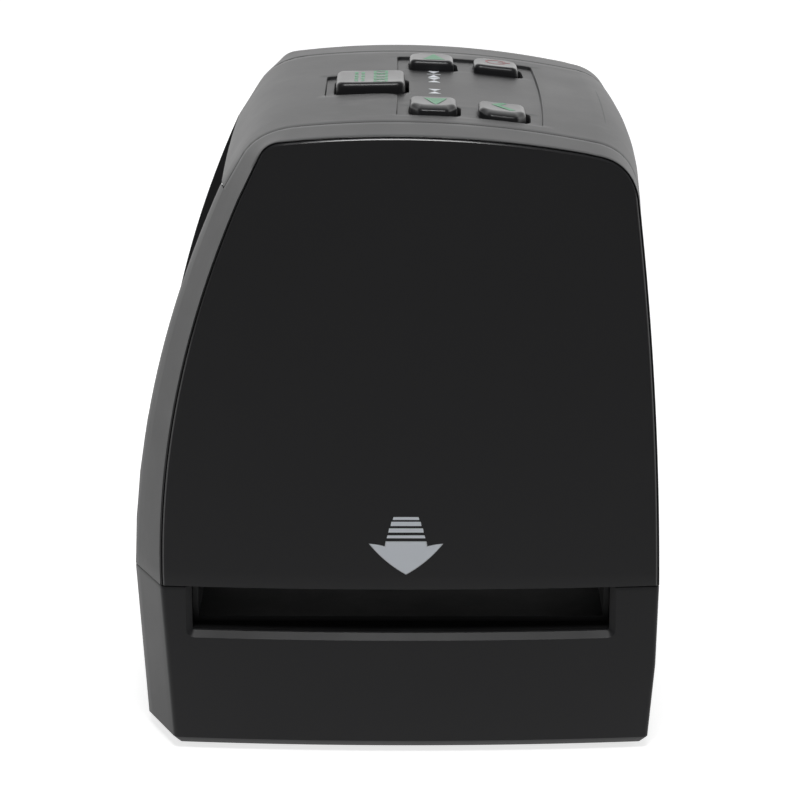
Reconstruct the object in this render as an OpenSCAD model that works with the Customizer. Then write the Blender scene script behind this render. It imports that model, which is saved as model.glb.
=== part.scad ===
// Film negative scanner: a tower with keys on top, a tilted display window in front
// and a film channel running through its base from side to side.
// Frame: X across the film channel, -Y is the front with the window, +Z up, z = 0 on the table.
// Sizes in Y are written from a line between the base's front and back; the last lines centre them.

/* [Body] */
// Width between the crowns of the two side faces
body_w = 86; // [84:0.5:100]
// From the middle of the base to its front at the split line
front_reach = 45; // [44:0.5:55]
// From the middle of the base to its back at the split line
back_reach = 41.7; // [41:0.1:50]
// Height of the top surface above the table
top_z = 103.4; // [102:0.2:120]
// Height of the split between the base and the upper shells
split_z = 28.2; // [28:0.1:32]
// Wall of the moulded shells
wall = 1.8; // [1.4:0.1:2.2]
// Radius of the gentle bow of each side face, seen from above
face_r = 400; // [300:10:900]
// Visible seam between shells
seam = 0.24; // [0.1:0.02:0.4]
// Width of the slanted rim of each side cover, measured on the top
rim_w = 9.9; // [9:0.1:11]
// Extra width of that rim at the window
rim_extra = 3.6; // [2:0.1:4]

/* [Film channel] */
// From the front of the base to the front edge of the slot
jamb_front = 10; // [9:0.1:14]
// From the back edge of the slot to the back of the base
jamb_back = 8.4; // [7.5:0.1:12]
// Height of the slot, from its sill to the split line
slot_h = 7.7; // [6.5:0.1:8]
// Bevel round the mouth of the slot
slot_bevel = 1; // [0.4:0.1:1.2]
// Frame window for the picture, along the channel
gate_x = 37; // [30:0.5:40]
// Frame window for the picture, across the channel
gate_y = 27; // [22:0.5:28]

/* [Window] */
// Height of the display window along its slope
window_h = 44.4; // [44:0.1:45]
// Thickness of the window
window_t = 1.5; // [1:0.1:1.5]
// Thickness of the display module
lcd_t = 2.6; // [2:0.1:3]

/* [Keys] */
// Length of a small key across the body
key_x = 10; // [8:0.1:10.4]
// Width of a small key from front to back
key_y = 8.3; // [7:0.1:8.6]
// Length of the big key across the body
big_key_x = 13; // [11:0.1:14]
// Width of the big key from front to back
big_key_y = 12.2; // [10:0.1:12.4]
// How far a key stands above the panel round it
key_rise = 1.8; // [1.2:0.1:2.2]
// Travel of a key
key_travel = 0.5; // [0.3:0.05:0.7]
// Gap round a key in its aperture
key_gap = 0.3; // [0.2:0.05:0.4]
// Depth of the sunk key panel
panel_d = 0.5; // [0.3:0.05:0.7]

/* [Optics] */
// Diameter of the lens barrel
barrel_d = 12; // [10:0.2:13]
// Height of the lens hood
hood_h = 27.7; // [24:0.1:30]
// Height of the light box
lamp_h = 12.8; // [12.4:0.1:13]

/* [Fasteners] */
// Case screw shank
screw_d = 2.4; // [2:0.1:2.6]
// Board screw shank
small_screw_d = 1.7; // [1.4:0.1:2]
// Thickness of the circuit boards
board_t = 1.6; // [1:0.1:1.6]

/* [Feet] */
// Diameter of a rubber foot
foot_d = 9; // [7:0.5:10]
// How far a foot stands out of the base
foot_h = 0.65; // [0.5:0.05:1.2]

/* [Hidden] */
$fn = 32;

shell_colour = "#1c1c1e";
key_colour = "#242427";
inner_colour = "#2b2b2e";
glass_colour = "#0b0c10";
board_colour = "#1f5a34";
metal_colour = "#b9bcc0";
rubber_colour = "#2a2a2a";
white_colour = "#efefea";
ribbon_colour = "#c98a3a";

// ---- outer form -------------------------------------------------------------------------

half_w = body_w / 2;
slot_w = front_reach + back_reach - jamb_front - jamb_back;
slot_y = (back_reach - jamb_back - front_reach + jamb_front) / 2;
band_half = half_w - rim_w;             // seam of the middle band on top
rim_half = band_half - rim_extra;       // seam beside the window
slack = 0.3;                            // free gap between parts that don't touch
big = 300;                              // larger than the whole object

toe_in = 1.7;                           // the base narrows towards the table in front
heel_in = 1.4;                          // and at the back
shoulder_drop = 10.6;                   // top of the window, below the top surface
lean = 15.1;                            // the front leans back this far up to the shoulder
back_lean = 4.55;
nose_in = 21.1;                         // corner between front and top
top_bow = 1.8;
front_bow = 3.6;
back_bow = 0.9;
shoulder_z = top_z - shoulder_drop;
top_y0 = -(front_reach - 28);           // the top's arc starts here
top_y1 = back_reach - 11.5;             // and ends here
top_drop0 = 0.55;
top_drop1 = 3.15;
foot_r = 1.3;                           // small bevel along the bottom edge

// height of the top surface, and reach of the front, at a place along the profile
function top_at(y) = let (t = (y - top_y0) / (top_y1 - top_y0))
    top_z - top_drop0 + (top_drop0 - top_drop1) * t + top_bow * 4 * t * (1 - t);
function front_at(z) = let (t = (z - split_z) / (shoulder_z - split_z))
    -front_reach + lean * t - front_bow * 4 * t * (1 - t);
function back_at(z) = let (t = (z - split_z) / (shoulder_z - split_z))
    back_reach - back_lean * t + back_bow * 4 * t * (1 - t);

// quadratic curve from a to c with its corner at b
function bend(a, b, c, n) = [for (i = [0:n]) let (t = i / n)
    a * (1 - t) * (1 - t) + b * 2 * t * (1 - t) + c * t * t];

// Side outline of the body, drawn in (y, z). fi, ti and bi move its front, top and back inwards.
// At the shoulder the front moves by a smaller share, and by a larger one past the seam;
// the corner between front and top gets tighter towards the side faces.
share = 0.39;
share_out = 0.7;
seam_in = 1.6;                          // the front's move inwards at the seam
function front_in(fi, t) = min(fi, seam_in) * (1 - (1 - share) * t)
    + max(0, fi - seam_in) * (1 - (1 - share_out) * t);
swell = 0.8;                            // the front's middle stands proud of its edges
tail_swell = 1.2;                       // the back's middle too, from nothing at the split upwards
edge_drop = 0.4;                        // top and back fall this far to the side faces
function back_in(bi, t) = bi > 0 ? bi : bi * t;
function outline(fi, ti, bi) =
    let (k = max(0, min(1, ti / edge_drop)),
         shoulder = [front_at(shoulder_z) + front_in(fi, 1), shoulder_z],
         nose = [-(front_reach - nose_in) + 1.6 * k, top_z - 1.2 - ti],
         t0y = top_y0 + ti - 3.4 * k,
         t0 = [t0y, top_at(t0y) - ti],
         t1 = [top_y1 - bi, top_at(top_y1) - ti],
         tail = [back_reach - 5.7 - bi, top_z - 4.4 - ti * 0.4],
         b0 = [back_at(shoulder_z) - bi, shoulder_z],
         toe = -(front_reach - toe_in) + fi,
         heel_y = back_reach - max(0, bi))
    concat(
        [[toe + foot_r, foot_h], [toe, foot_h + foot_r]],
        [for (i = [0:7]) let (z = split_z + (shoulder_z - split_z) * i / 8)
            [front_at(z) + front_in(fi, i / 8), z]],
        [shoulder],
        bend(shoulder + (nose - shoulder) * (0.55 + 0.21 * k), nose, t0, 5),
        [for (i = [1:6]) let (y = t0[0] + (t1[0] - t0[0]) * i / 7) [y, top_at(y) - ti]],
        bend(t1, tail, b0, 5),
        [for (i = [1:5]) let (z = shoulder_z + (split_z - shoulder_z) * i / 5)
            [back_at(z) - back_in(bi, 1 - i / 5), z]],
        [[heel_y - heel_in * 0.25, (split_z + foot_h) / 2],
         [heel_y - heel_in, foot_h + foot_r], [heel_y - heel_in - foot_r, foot_h]]);

// x, then how far front, top and back lie inside the middle outline
stations = [[0, -swell, -0.15, -tail_swell], [rim_half * 0.3, -0.7, -0.14, -tail_swell * 0.93],
            [rim_half * 0.6, -0.5, -0.1, -tail_swell * 0.71], [rim_half, 0, 0, -tail_swell * 0.2],
            [band_half, seam_in, 0, 0], [half_w - 3.5, 4.3, edge_drop * 0.7, edge_drop * 0.7],
            [half_w - 1.8, 5.1, edge_drop * 0.9, edge_drop * 0.9],
            [half_w, 5.9, edge_drop * 2, edge_drop * 2]];

// moves a closed outline inwards by d, keeping its corners sharp
function unit(v) = v / norm(v);
function inner_normal(a, b) = let (u = unit(b - a)) [u[1], -u[0]];
function inset(o, d) = let (n = len(o)) [for (i = [0:n - 1])
    let (m = inner_normal(o[(i + n - 1) % n], o[i]), k = inner_normal(o[i], o[(i + 1) % n]))
    o[i] + (m + k) * d / (1 + m * k)];

// everything between the two bowed side faces
module bow(skin) intersection() {
    translate([half_w - face_r, 0, 0]) cylinder(r = face_r - skin, h = big, $fn = 400);
    translate([face_r - half_w, 0, 0]) cylinder(r = face_r - skin, h = big, $fn = 400);
}

// The whole closed body, or the same body with a skin of that thickness taken off: a skin drawn
// over the outlines from side to side, with the bow of both side faces cut into it
module body_form(skin) {
    last = len(stations) - 1;
    rows = concat([for (i = [last:-1:1]) [-stations[i][0], stations[i]]],
                  [for (s = stations) [s[0], s]]);
    loops = [for (r = rows) [for (p = inset(outline(r[1][1], r[1][2], r[1][3]), skin))
        [r[0] * (half_w - skin) / half_w, p[0], p[1]]]];
    n = len(loops[0]);
    ends = len(rows) - 1;
    intersection() {
        polyhedron(points = [for (l = loops, p = l) p], faces = concat(
            [[for (j = [n - 1:-1:0]) j]], [[for (j = [0:n - 1]) ends * n + j]],
            [for (i = [0:ends - 1], j = [0:n - 1]) let (a = i * n + j, b = i * n + (j + 1) % n)
                each [[a, b, b + n], [a, b + n, a + n]]]));
        bow(skin);
    }
}

module shell() difference() { body_form(0); body_form(wall); }

// box from its low and high corners
module span(a, b) translate(a) cube(b - a);
module at_x(x) for (side = [-1, 1]) translate([side * x, 0, 0]) children();
module rounded(w, h, r) offset(r = r) square([w - 2 * r, h - 2 * r], center = true);

// plate with rounded corners lying at z0 to z1
module pad(c, size, r, z0, z1) translate([c[0], c[1], z0])
    linear_extrude(z1 - z0) rounded(size[0], size[1], r);

rear_top_z = shoulder_z - 4;            // top edge of the rear cover

// ---- case screws: four at the corners, four along the middle ------------------------------

corner_x0 = band_half - 0.3;
corner_y0 = -(front_reach - 7.4);
corner_x1 = half_w - 7;
mid_x = 20;
mid_y0 = -(front_reach - 6.2);
rear_y = back_reach - 4.8;
case_spots = [[corner_x0, corner_y0], [-corner_x0, corner_y0], [corner_x1, rear_y],
              [-corner_x1, rear_y], [mid_x, mid_y0], [-mid_x, mid_y0], [mid_x, rear_y],
              [-mid_x, rear_y]];
column_r = 2;
column_base_r = 3.2;                    // round the recess of a screw head
screw_head_r = 1.9;
screw_head_h = 1.6;
screw_seat_z = foot_h + wall + 1.4;     // underside of each screw head rests here
plate_z0 = split_z + 0.1;               // underside of the upper film guide
plate_t = 2;
plate_z1 = plate_z0 + plate_t;
boss_h = 9;                             // screw bosses of the upper shells, above that plate

// a column with a web to the wall behind it (dir -1 front, 1 back)
module column(p, z0, z1, dir) {
    translate([p[0], p[1], z0]) cylinder(r = column_r, h = z1 - z0);
    translate([p[0] - 0.7, dir > 0 ? p[1] : p[1] - 5, z0]) cube([1.4, 5, z1 - z0]);
}
module upper_bosses(spots) intersection() {
    body_form(wall / 2);
    difference() {
        for (p = spots) column(p, plate_z1, plate_z1 + boss_h, sign(p[1]));
        for (p = spots) translate([p[0], p[1], plate_z1 - 1])
            cylinder(d = screw_d + 0.1, h = boss_h);
    }
}

// ---- shells ---------------------------------------------------------------------------------

sill_z = split_z - slot_h;
module slot_mouth() at_x(half_w - 1) {
    translate([-5, slot_y - slot_w / 2, sill_z]) cube([10, slot_w, slot_h + 1]);
}
// bevel of the mouth: a frustum that opens outwards, on each side
module slot_bevels() for (side = [-1, 1]) hull() {
    translate([side * (half_w - 1.2), slot_y - slot_w / 2, sill_z])
        cube([0.01, slot_w, slot_h + 1]);
    translate([side * (half_w + 0.1), slot_y - slot_w / 2 - slot_bevel, sill_z - slot_bevel])
        cube([0.01, slot_w + 2 * slot_bevel, slot_h + slot_bevel + 1]);
}

module bottom_case() color(shell_colour) difference() {
    union() {
        intersection() { shell(); span([-big, -big, 0], [big, big, split_z - seam / 2]); }
        intersection() {
            body_form(wall / 2);
            union() {
                for (p = case_spots) {
                    column(p, foot_h + 0.5, plate_z0, sign(p[1]));
                    translate([p[0], p[1], 0]) cylinder(r = column_base_r, h = screw_seat_z + 1.2);
                }
                for (p = lamp_posts) translate([p[0], p[1], foot_h + 0.5])
                    cylinder(r = 2.2, h = lamp_board_z - foot_h - 0.5);
                for (p = guide_posts) translate([p[0], p[1], foot_h + 0.5])
                    cylinder(r = 2.2, h = guide_z0 - foot_h - 0.5);
            }
        }
    }
    slot_mouth();
    slot_bevels();
    for (p = case_spots) translate([p[0], p[1], 0]) {
        cylinder(r = screw_head_r + 0.15, h = screw_seat_z);
        cylinder(d = screw_d + 0.3, h = plate_z0 + 1);
    }
    for (p = lamp_posts) translate([p[0], p[1], lamp_board_z - 2])
        cylinder(d = small_screw_d + 0.1, h = 3);
    for (p = guide_posts) translate([p[0], p[1], guide_z0 - 5])
        cylinder(d = small_screw_d + 0.1, h = 6);
    for (p = foot_spots) translate([p[0], p[1], 0])
        cylinder(d = foot_d, h = foot_h + foot_seat);
}

// one side cover; the left one is its mirror image
side_spots = [[corner_x0, corner_y0], [corner_x1, rear_y]];
module side_cover() color(shell_colour) {
    intersection() {
        shell();
        union() {
            span([band_half + seam / 2, -big, split_z + seam / 2], [big, big, big]);
            span([rim_half + seam / 2, -big, split_z + seam / 2],
                 [big, top_y0 - 7, shoulder_z]);
        }
    }
    intersection() {
        body_form(wall / 2);
        at_window() span([rim_half + seam / 2 + 0.05, -window_h / 2 - 1, frame_z0 + 0.5],
                         [rim_half + 1.6, window_h / 2 - 0.3, 4]);
    }
    upper_bosses(side_spots);
}
module right_side_cover() side_cover();
module left_side_cover() mirror([1, 0, 0]) side_cover();

// keys: name order is scan, left arrow, right arrow, power, ok
big_key = [0, -6];
row_x = 21.4;                           // small keys lie this far from the middle
arrow_y = 4.4;
action_y = 15.6;
panel_half = 27.2;                      // half length of the sunk panel
panel_y0 = -1.7;
panel_y1 = 21.7;
tab_half = big_key_x / 2 + 2.4;         // the panel's tab round the big key
tab_y0 = big_key[1] - big_key_y / 2 - 1.4;

module panel_outline() offset(r = -1.2) offset(delta = 1.2) offset(r = 0.8) offset(delta = -0.8)
    union() {
        translate([-panel_half, panel_y0]) square([2 * panel_half, panel_y1 - panel_y0]);
        translate([-tab_half, tab_y0]) square([2 * tab_half, panel_y1 - tab_y0]);
    }

// centre, size and corner radius of each key
key_corner = 1.7;
scan_key = [big_key, [big_key_x, big_key_y]];
left_key = [[-row_x, arrow_y], [key_x, key_y]];
right_key = [[row_x, arrow_y], [key_x, key_y]];
power_key = [[-row_x, action_y], [key_x, key_y]];
ok_key = [[row_x, action_y], [key_x, key_y]];
all_keys = [scan_key, left_key, right_key, power_key, ok_key];

key_board_y0 = -13;
key_board_y1 = 24;
key_post_x = band_half - 3.1;
key_posts = [[key_post_x, key_board_y0 + 3], [-key_post_x, key_board_y0 + 3],
             [key_post_x, key_board_y1 - 2.2], [-key_post_x, key_board_y1 - 2.2]];
post_r = 2.2;

module top_cover() color(shell_colour) difference() {
    intersection() {
        body_form(0);
        union() {
            span([-band_half + seam / 2, -big, shoulder_z + seam / 2],
                 [band_half - seam / 2, 0, big]);
            span([-band_half + seam / 2, -0.1, rear_top_z + seam / 2],
                 [band_half - seam / 2, big, big]);
        }
    }
    difference() {
        body_form(wall);
        for (p = key_posts) translate([p[0], p[1], key_board_z1]) cylinder(r = post_r, h = big);
    }
    difference() {
        translate([0, 0, rear_top_z]) linear_extrude(big) panel_outline();
        body_form(panel_d);
    }
    for (k = all_keys) pad(k[0], k[1] + [2, 2] * key_gap, key_corner + key_gap, rear_top_z, big);
    for (p = key_posts) translate([p[0], p[1], key_board_z1 - 1])
        cylinder(d = small_screw_d + 0.1, h = 6);
}

// ---- window frame: local x across, y up the slope, z outwards, z = 0 on the window's face ----

window_top = [front_at(shoulder_z) + 0.3, shoulder_z - 0.4];
window_low_z = shoulder_z - window_h * cos(17);
window_low = [front_at(window_low_z), window_low_z];
window_tilt = atan((window_top[0] - window_low[0]) / (window_top[1] - window_low[1]));
window_mid = (window_top + window_low) / 2;
window_w = 2 * rim_half - seam - 0.1;
module at_window() translate([0, window_mid[0], window_mid[1]])
    rotate([90 - window_tilt, 0, 0]) children();

frame_t = 1.5;
frame_z1 = -window_t - 0.1;             // front of the plate that carries the window
frame_z0 = frame_z1 - frame_t;
frame_top = window_h / 2 + 0.5;         // the plate reaches past the window's top edge
lcd_z1 = frame_z0 - 0.05;
lcd_z0 = lcd_z1 - lcd_t;
lcd_w = window_w + 1.5;                 // the display reaches a little past the window
lcd_h = window_h - 1.7;
bracket_t = 1.2;
bracket_z1 = lcd_z0 - 0.05;
bracket_y = lcd_h / 2 + 2.8;            // screw rows above and below the display
bracket_spots = [[-20, bracket_y], [20, bracket_y], [-20, -bracket_y], [20, -bracket_y]];
view_w = lcd_w - 10.3;                  // opening for the picture
view_h = lcd_h - 4.7;

module front_cover() color(shell_colour) {
    difference() {
        union() {
            intersection() {
                shell();
                span([-rim_half + seam / 2, -big, split_z + seam / 2],
                     [rim_half - seam / 2, -20, shoulder_z - seam / 2]);
            }
            at_window() {
                span([-window_w / 2, -window_h / 2 - 1, frame_z0],
                     [window_w / 2, frame_top, frame_z1]);
                span([-window_w / 2, lcd_h / 2 + 0.25, bracket_z1 + 0.7],
                     [window_w / 2, frame_top, frame_z1]);
                span([-24, window_h / 2, bracket_z1 + 0.7], [24, bracket_y + 2.2, frame_z0 - 0.2]);
                for (p = bracket_spots) translate([p[0], p[1], bracket_z1])
                    cylinder(r = 2.2, h = 2);
            }
            intersection() {
                body_form(wall / 2);
                at_window() span([-window_w / 2, -bracket_y - 2.6, bracket_z1 + 0.7],
                                 [window_w / 2, -lcd_h / 2 - 0.25, 4]);
            }
        }
        at_window() {
            span([-big / 2, -window_h / 2 - 0.2, frame_z1], [big / 2, window_h / 2 + 4, 20]);
            translate([0, 0, frame_z0 - 1]) linear_extrude(5) rounded(view_w, view_h, 1);
            for (p = bracket_spots) translate([p[0], p[1], bracket_z1 - 1])
                cylinder(d = small_screw_d + 0.1, h = 2.8);
        }
    }
    upper_bosses([[mid_x, mid_y0], [-mid_x, mid_y0]]);
}

module display_window() color(glass_colour) at_window() translate([0, 0, -window_t])
    linear_extrude(window_t) rounded(window_w, window_h, 0.8);

// ---- rear cover and its ports -----------------------------------------------------------------

port_z1 = plate_z1 + 15.7;              // top face of the port board
port_z0 = port_z1 - board_t;
port_half = rim_half - 0.5;             // half of the port board
socket_gap = 2.15;                      // between the card socket and the one beside it
card_h = 3;
usb_x = port_half - 10;
usb_w = 7.7;
usb_h = 3.9;
card_w = 2 * (usb_x - usb_w / 2 - socket_gap);
video_x = 9 - port_half;
video_d = 6;                            // nose of the video socket
main_y0 = back_reach - 10.3;            // front face of the main board
main_y1 = main_y0 + board_t;
main_half = rim_half - 1.5;
main_z0 = port_z1 + 6.9;
main_z1 = rear_top_z - 1.4;
main_posts = [[3 - main_half, main_z0 + 3.1], [main_half - 3, main_z0 + 3.1],
              [3 - main_half, main_z1 - 3.6], [main_half - 3, main_z1 - 3.6]];

module rear_cover() color(shell_colour) {
    difference() {
        intersection() {
            body_form(0);
            span([-band_half + seam / 2, 20, split_z + seam / 2],
                 [band_half - seam / 2, big, rear_top_z - seam / 2]);
        }
        difference() {
            body_form(wall);
            for (p = main_posts) translate([p[0], main_y1, p[1]]) rotate([-90, 0, 0])
                cylinder(r = post_r, h = 20);
        }
        for (p = main_posts) translate([p[0], main_y1 - 1, p[1]]) rotate([-90, 0, 0])
            cylinder(d = small_screw_d + 0.1, h = 4);
        span([-card_w / 2 + 1, back_reach - 4, port_z1 + 0.3],
             [card_w / 2 - 1, big, port_z1 + card_h - 0.3]);
        span([usb_x - usb_w / 2 - 0.3, back_reach - 4, port_z1 - 0.3],
             [usb_x + usb_w / 2 + 0.3, big, port_z1 + usb_h + 0.3]);
        translate([video_x, back_reach - 4, port_z1 + 3]) rotate([-90, 0, 0])
            cylinder(d = video_d + 0.6, h = 20);
    }
    upper_bosses([[mid_x, rear_y], [-mid_x, rear_y]]);
}

// ---- feet and screws ---------------------------------------------------------------------------

foot_seat = 0.8;                        // depth of the pocket that each foot is glued in
foot_spots = [[29, -30], [-29, -30], [29, 29], [-29, 29]];
module rubber_feet() color(rubber_colour) for (p = foot_spots) translate([p[0], p[1], 0])
    cylinder(d = foot_d - 0.2, h = foot_h + foot_seat);

module screw(head_r, head_h, d, l) {    // head below z = 0, shank above it
    translate([0, 0, -head_h]) cylinder(r = head_r, h = head_h);
    cylinder(d = d, h = l);
}
module case_screws() color(metal_colour) for (p = case_spots)
    translate([p[0], p[1], screw_seat_z])
        screw(screw_head_r, screw_head_h, screw_d, plate_z1 + 6 - screw_seat_z);

// ---- keys ---------------------------------------------------------------------------------------

switch_h = 3.5;
flange_t = 0.9;
flange_w = 0.8;                         // lip under the cover that keeps a key in
key_board_z1 = top_z - 9.8;
key_board_z0 = key_board_z1 - board_t;
plunger_z1 = key_board_z1 + switch_h + 1;
plunger_d = 3.4;

// Cap with rounded shoulders, lip below the cover and stem down to the switch.
// The lip stays under the lowest corner of the cover's inside; tip leans the cap with the panel.
module key(k, tip, rise) {
    c = k[0];
    size = k[1];
    low = min(top_at(c[1] - size[1] / 2 - flange_w), top_at(c[1] + size[1] / 2 + flange_w));
    lip_z1 = low - wall - 0.25;
    cap_z = top_at(c[1]) - panel_d + rise;
    pad(c, size + [2, 2] * flange_w, key_corner, lip_z1 - flange_t, lip_z1);
    hull() {
        pad(c, size, key_corner, lip_z1 - 0.1, lip_z1);
        translate([c[0], c[1], cap_z - 1.1]) rotate([tip, 0, 0])
            linear_extrude(0.1) rounded(size[0], size[1], key_corner);
        translate([c[0], c[1], cap_z - 0.35]) rotate([tip, 0, 0])
            linear_extrude(0.1) rounded(size[0] - 0.7, size[1] - 0.7, key_corner);
        translate([c[0], c[1], cap_z - 0.1]) rotate([tip, 0, 0])
            linear_extrude(0.1) rounded(size[0] - 1.8, size[1] - 1.8, key_corner - 0.6);
    }
    translate([c[0], c[1], plunger_z1]) cylinder(d = 3, h = lip_z1 - plunger_z1);
}
action_tip = -atan((top_at(action_y - 4) - top_at(action_y + 4)) / 8);
arrow_tip = -atan((top_at(arrow_y - 4) - top_at(arrow_y + 4)) / 8);
module scan_button() color(key_colour) key(scan_key, 0.8, key_rise + 0.2);
module left_arrow_button() color(key_colour) key(left_key, arrow_tip, key_rise);
module right_arrow_button() color(key_colour) key(right_key, arrow_tip, key_rise);
module power_button() color(key_colour) key(power_key, action_tip, key_rise - 0.15);
module ok_button() color(key_colour) key(ok_key, action_tip, key_rise - 0.15);

module key_board() color(board_colour) difference() {
    pad([0, (key_board_y0 + key_board_y1) / 2],
        [2 * (band_half - 1), key_board_y1 - key_board_y0], 1, key_board_z0, key_board_z1);
    for (p = key_posts) translate([p[0], p[1], key_board_z0 - 1])
        cylinder(d = small_screw_d + 0.3, h = board_t + 2);
}

bore_z = key_board_z1 + 1.8;            // floor of the bore that a plunger slides in
module switch_bodies() color(inner_colour) for (k = all_keys)
    translate([k[0][0], k[0][1], key_board_z1]) difference() {
        linear_extrude(switch_h) square(6.2, center = true);
        translate([0, 0, bore_z - key_board_z1]) cylinder(d = plunger_d + 0.1, h = switch_h);
    }
module plunger(k) color("#33333a") translate([k[0][0], k[0][1], bore_z + key_travel + 0.3])
    cylinder(d = plunger_d, h = plunger_z1 - bore_z - key_travel - 0.3);
module scan_plunger() plunger(scan_key);
module left_arrow_plunger() plunger(left_key);
module right_arrow_plunger() plunger(right_key);
module power_plunger() plunger(power_key);
module ok_plunger() plunger(ok_key);

// ---- film guides --------------------------------------------------------------------------------

guide_z0 = sill_z - 1.7;                // underside of the lower guide
guide_step = 0.8;                       // its bed lies this much above the sill
bed_z = sill_z + guide_step;
bed_half = half_w - 7;                  // the raised bed ends here
rail_in = 0.75;                         // the rails stand inside the slot's jambs
rail_t = 1.9;
rail_y0 = slot_y - slot_w / 2 + rail_in;
rail_y1 = slot_y + slot_w / 2 - rail_in;
rail_skin = 0.9;                        // near the mouths a rail is only this thick
rail_half = band_half - 2.8;
guide_posts = [[27, rail_y0 - 4], [-27, rail_y0 - 4], [27, rail_y1 + 4], [-27, rail_y1 + 4]];
detent_x = 12;
detent_z = bed_z + 3.4;
detent_r = 1.5;
detent_y1 = rail_y1 + 5.2;              // end of the plunger's bore

module lower_film_guide() color(inner_colour) difference() {
    union() {
        intersection() {
            span([-big, rail_y0 - rail_skin, guide_z0], [big, rail_y1 + rail_skin, sill_z]);
            bow(wall + slack);
        }
        span([-bed_half, rail_y0 - rail_skin, guide_z0], [bed_half, rail_y1 + rail_skin, bed_z]);
        span([-bed_half, rail_y0 - rail_skin, guide_z0], [bed_half, rail_y0, plate_z0]);
        span([-bed_half, rail_y1, guide_z0], [bed_half, rail_y1 + rail_skin, plate_z0]);
        span([-rail_half, rail_y0 - rail_t, guide_z0], [rail_half, rail_y0, plate_z0]);
        span([-rail_half, rail_y1, guide_z0], [rail_half, rail_y1 + rail_t, plate_z0]);
        for (p = guide_posts) hull() {
            translate([p[0], p[1], guide_z0]) cylinder(r = 2.4, h = sill_z - guide_z0);
            translate([p[0] - 3.4, sign(p[1]) > 0 ? rail_y1 : rail_y0 - 1, guide_z0])
                cube([6.8, 1, sill_z - guide_z0]);
        }
        span([detent_x - 2.6, rail_y1, detent_z - 3], [detent_x + 2.6, detent_y1 + 0.9, plate_z0]);
    }
    span([-gate_x / 2 - 2, slot_y - gate_y / 2 - 2, guide_z0 - 1],
         [gate_x / 2 + 2, slot_y + gate_y / 2 + 2, bed_z + 1]);
    translate([detent_x, rail_y1 - 1, detent_z]) rotate([-90, 0, 0])
        cylinder(r = detent_r + 0.05, h = detent_y1 - rail_y1 + 1);
    for (p = guide_posts) translate([p[0], p[1], guide_z0 - 1])
        cylinder(d = small_screw_d + 0.3, h = 20);
}

module upper_film_guide() color(inner_colour) difference() {
    union() {
        translate([0, 0, plate_z0]) linear_extrude(plate_t) for (side = [-1, 1]) polygon([
            [0, -(front_reach - 2.3)], [side * (rim_half - 2), -(front_reach - 2.3)],
            [side * (band_half - 2), -(front_reach - 4)],
            [side * (half_w - 5.9), -(front_reach - 6.7)], [side * (half_w - 4.6), -30],
            [side * (half_w - 4.6), back_reach - 4], [side * (half_w - 6.3), back_reach - 2.3],
            [0, back_reach - 2.3]]);
        for (p = port_posts) translate([p[0], p[1], plate_z0])
            cylinder(r = 2.4, h = port_z0 - plate_z0);
    }
    span([-gate_x / 2, slot_y - gate_y / 2, plate_z0 - 1],
         [gate_x / 2, slot_y + gate_y / 2, plate_z1 + 1]);
    span([-5, back_reach - 6.4, plate_z0 - 1], [5, back_reach - 3.8, plate_z1 + 1]);
    for (p = case_spots) translate([p[0], p[1], plate_z0 - 1])
        cylinder(d = screw_d + 0.4, h = plate_t + 2);
    for (p = port_posts) translate([p[0], p[1], port_z0 - 5])
        cylinder(d = small_screw_d + 0.1, h = 6);
    for (p = hood_spots) translate([p[0], p[1], plate_z0 + 0.4])
        cylinder(d = small_screw_d + 0.1, h = 6);
}

// sprung pin that clicks into the notches of a film tray
module detent_plunger() color(metal_colour) translate([detent_x, rail_y1, detent_z])
    rotate([-90, 0, 0]) {
        translate([0, 0, 0.6]) cylinder(r = detent_r, h = 2);
        translate([0, 0, 0.6]) sphere(r = detent_r, $fn = 32);
    }
spring_r = 1.05;
wire_r = 0.15;
spring_turns = 4;
spring_y0 = rail_y1 + 2.6;
spring_l = detent_y1 - spring_y0;
function ring(p, u, v, r, n) = [for (i = [0:n - 1]) p + u * r * cos(360 * i / n)
                                + v * r * sin(360 * i / n)];
module detent_spring() color(metal_colour) {
    steps = spring_turns * 12;
    sides = 6;
    rings = [for (i = [0:steps]) let (a = 360 * spring_turns * i / steps)
        ring([detent_x + spring_r * cos(a),
              spring_y0 + wire_r + (spring_l - 2 * wire_r) * i / steps,
              detent_z + spring_r * sin(a)],
             [cos(a), 0, sin(a)], [0, 1, 0], wire_r, sides)];
    last = steps * sides;
    polyhedron(points = [for (r = rings, p = r) p], faces = concat(
        [[for (j = [0:sides - 1]) sides - 1 - j]],
        [[for (j = [0:sides - 1]) last + j]],
        [for (i = [0:steps - 1], j = [0:sides - 1]) let (k = (j + 1) % sides)
            each [[i * sides + j, i * sides + k, (i + 1) * sides + k],
                  [i * sides + j, (i + 1) * sides + k, (i + 1) * sides + j]]]));
}

// ---- light box -----------------------------------------------------------------------------------

lamp_board_z = guide_z0 - lamp_h - board_t;
lamp_x = gate_x + 9;
lamp_y = gate_y + 9;
lamp_wall = 1.2;
lamp_posts = [[lamp_x / 2 + 2.8, slot_y], [-(lamp_x / 2 + 2.8), slot_y]];
diffuser_t = 2;

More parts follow.
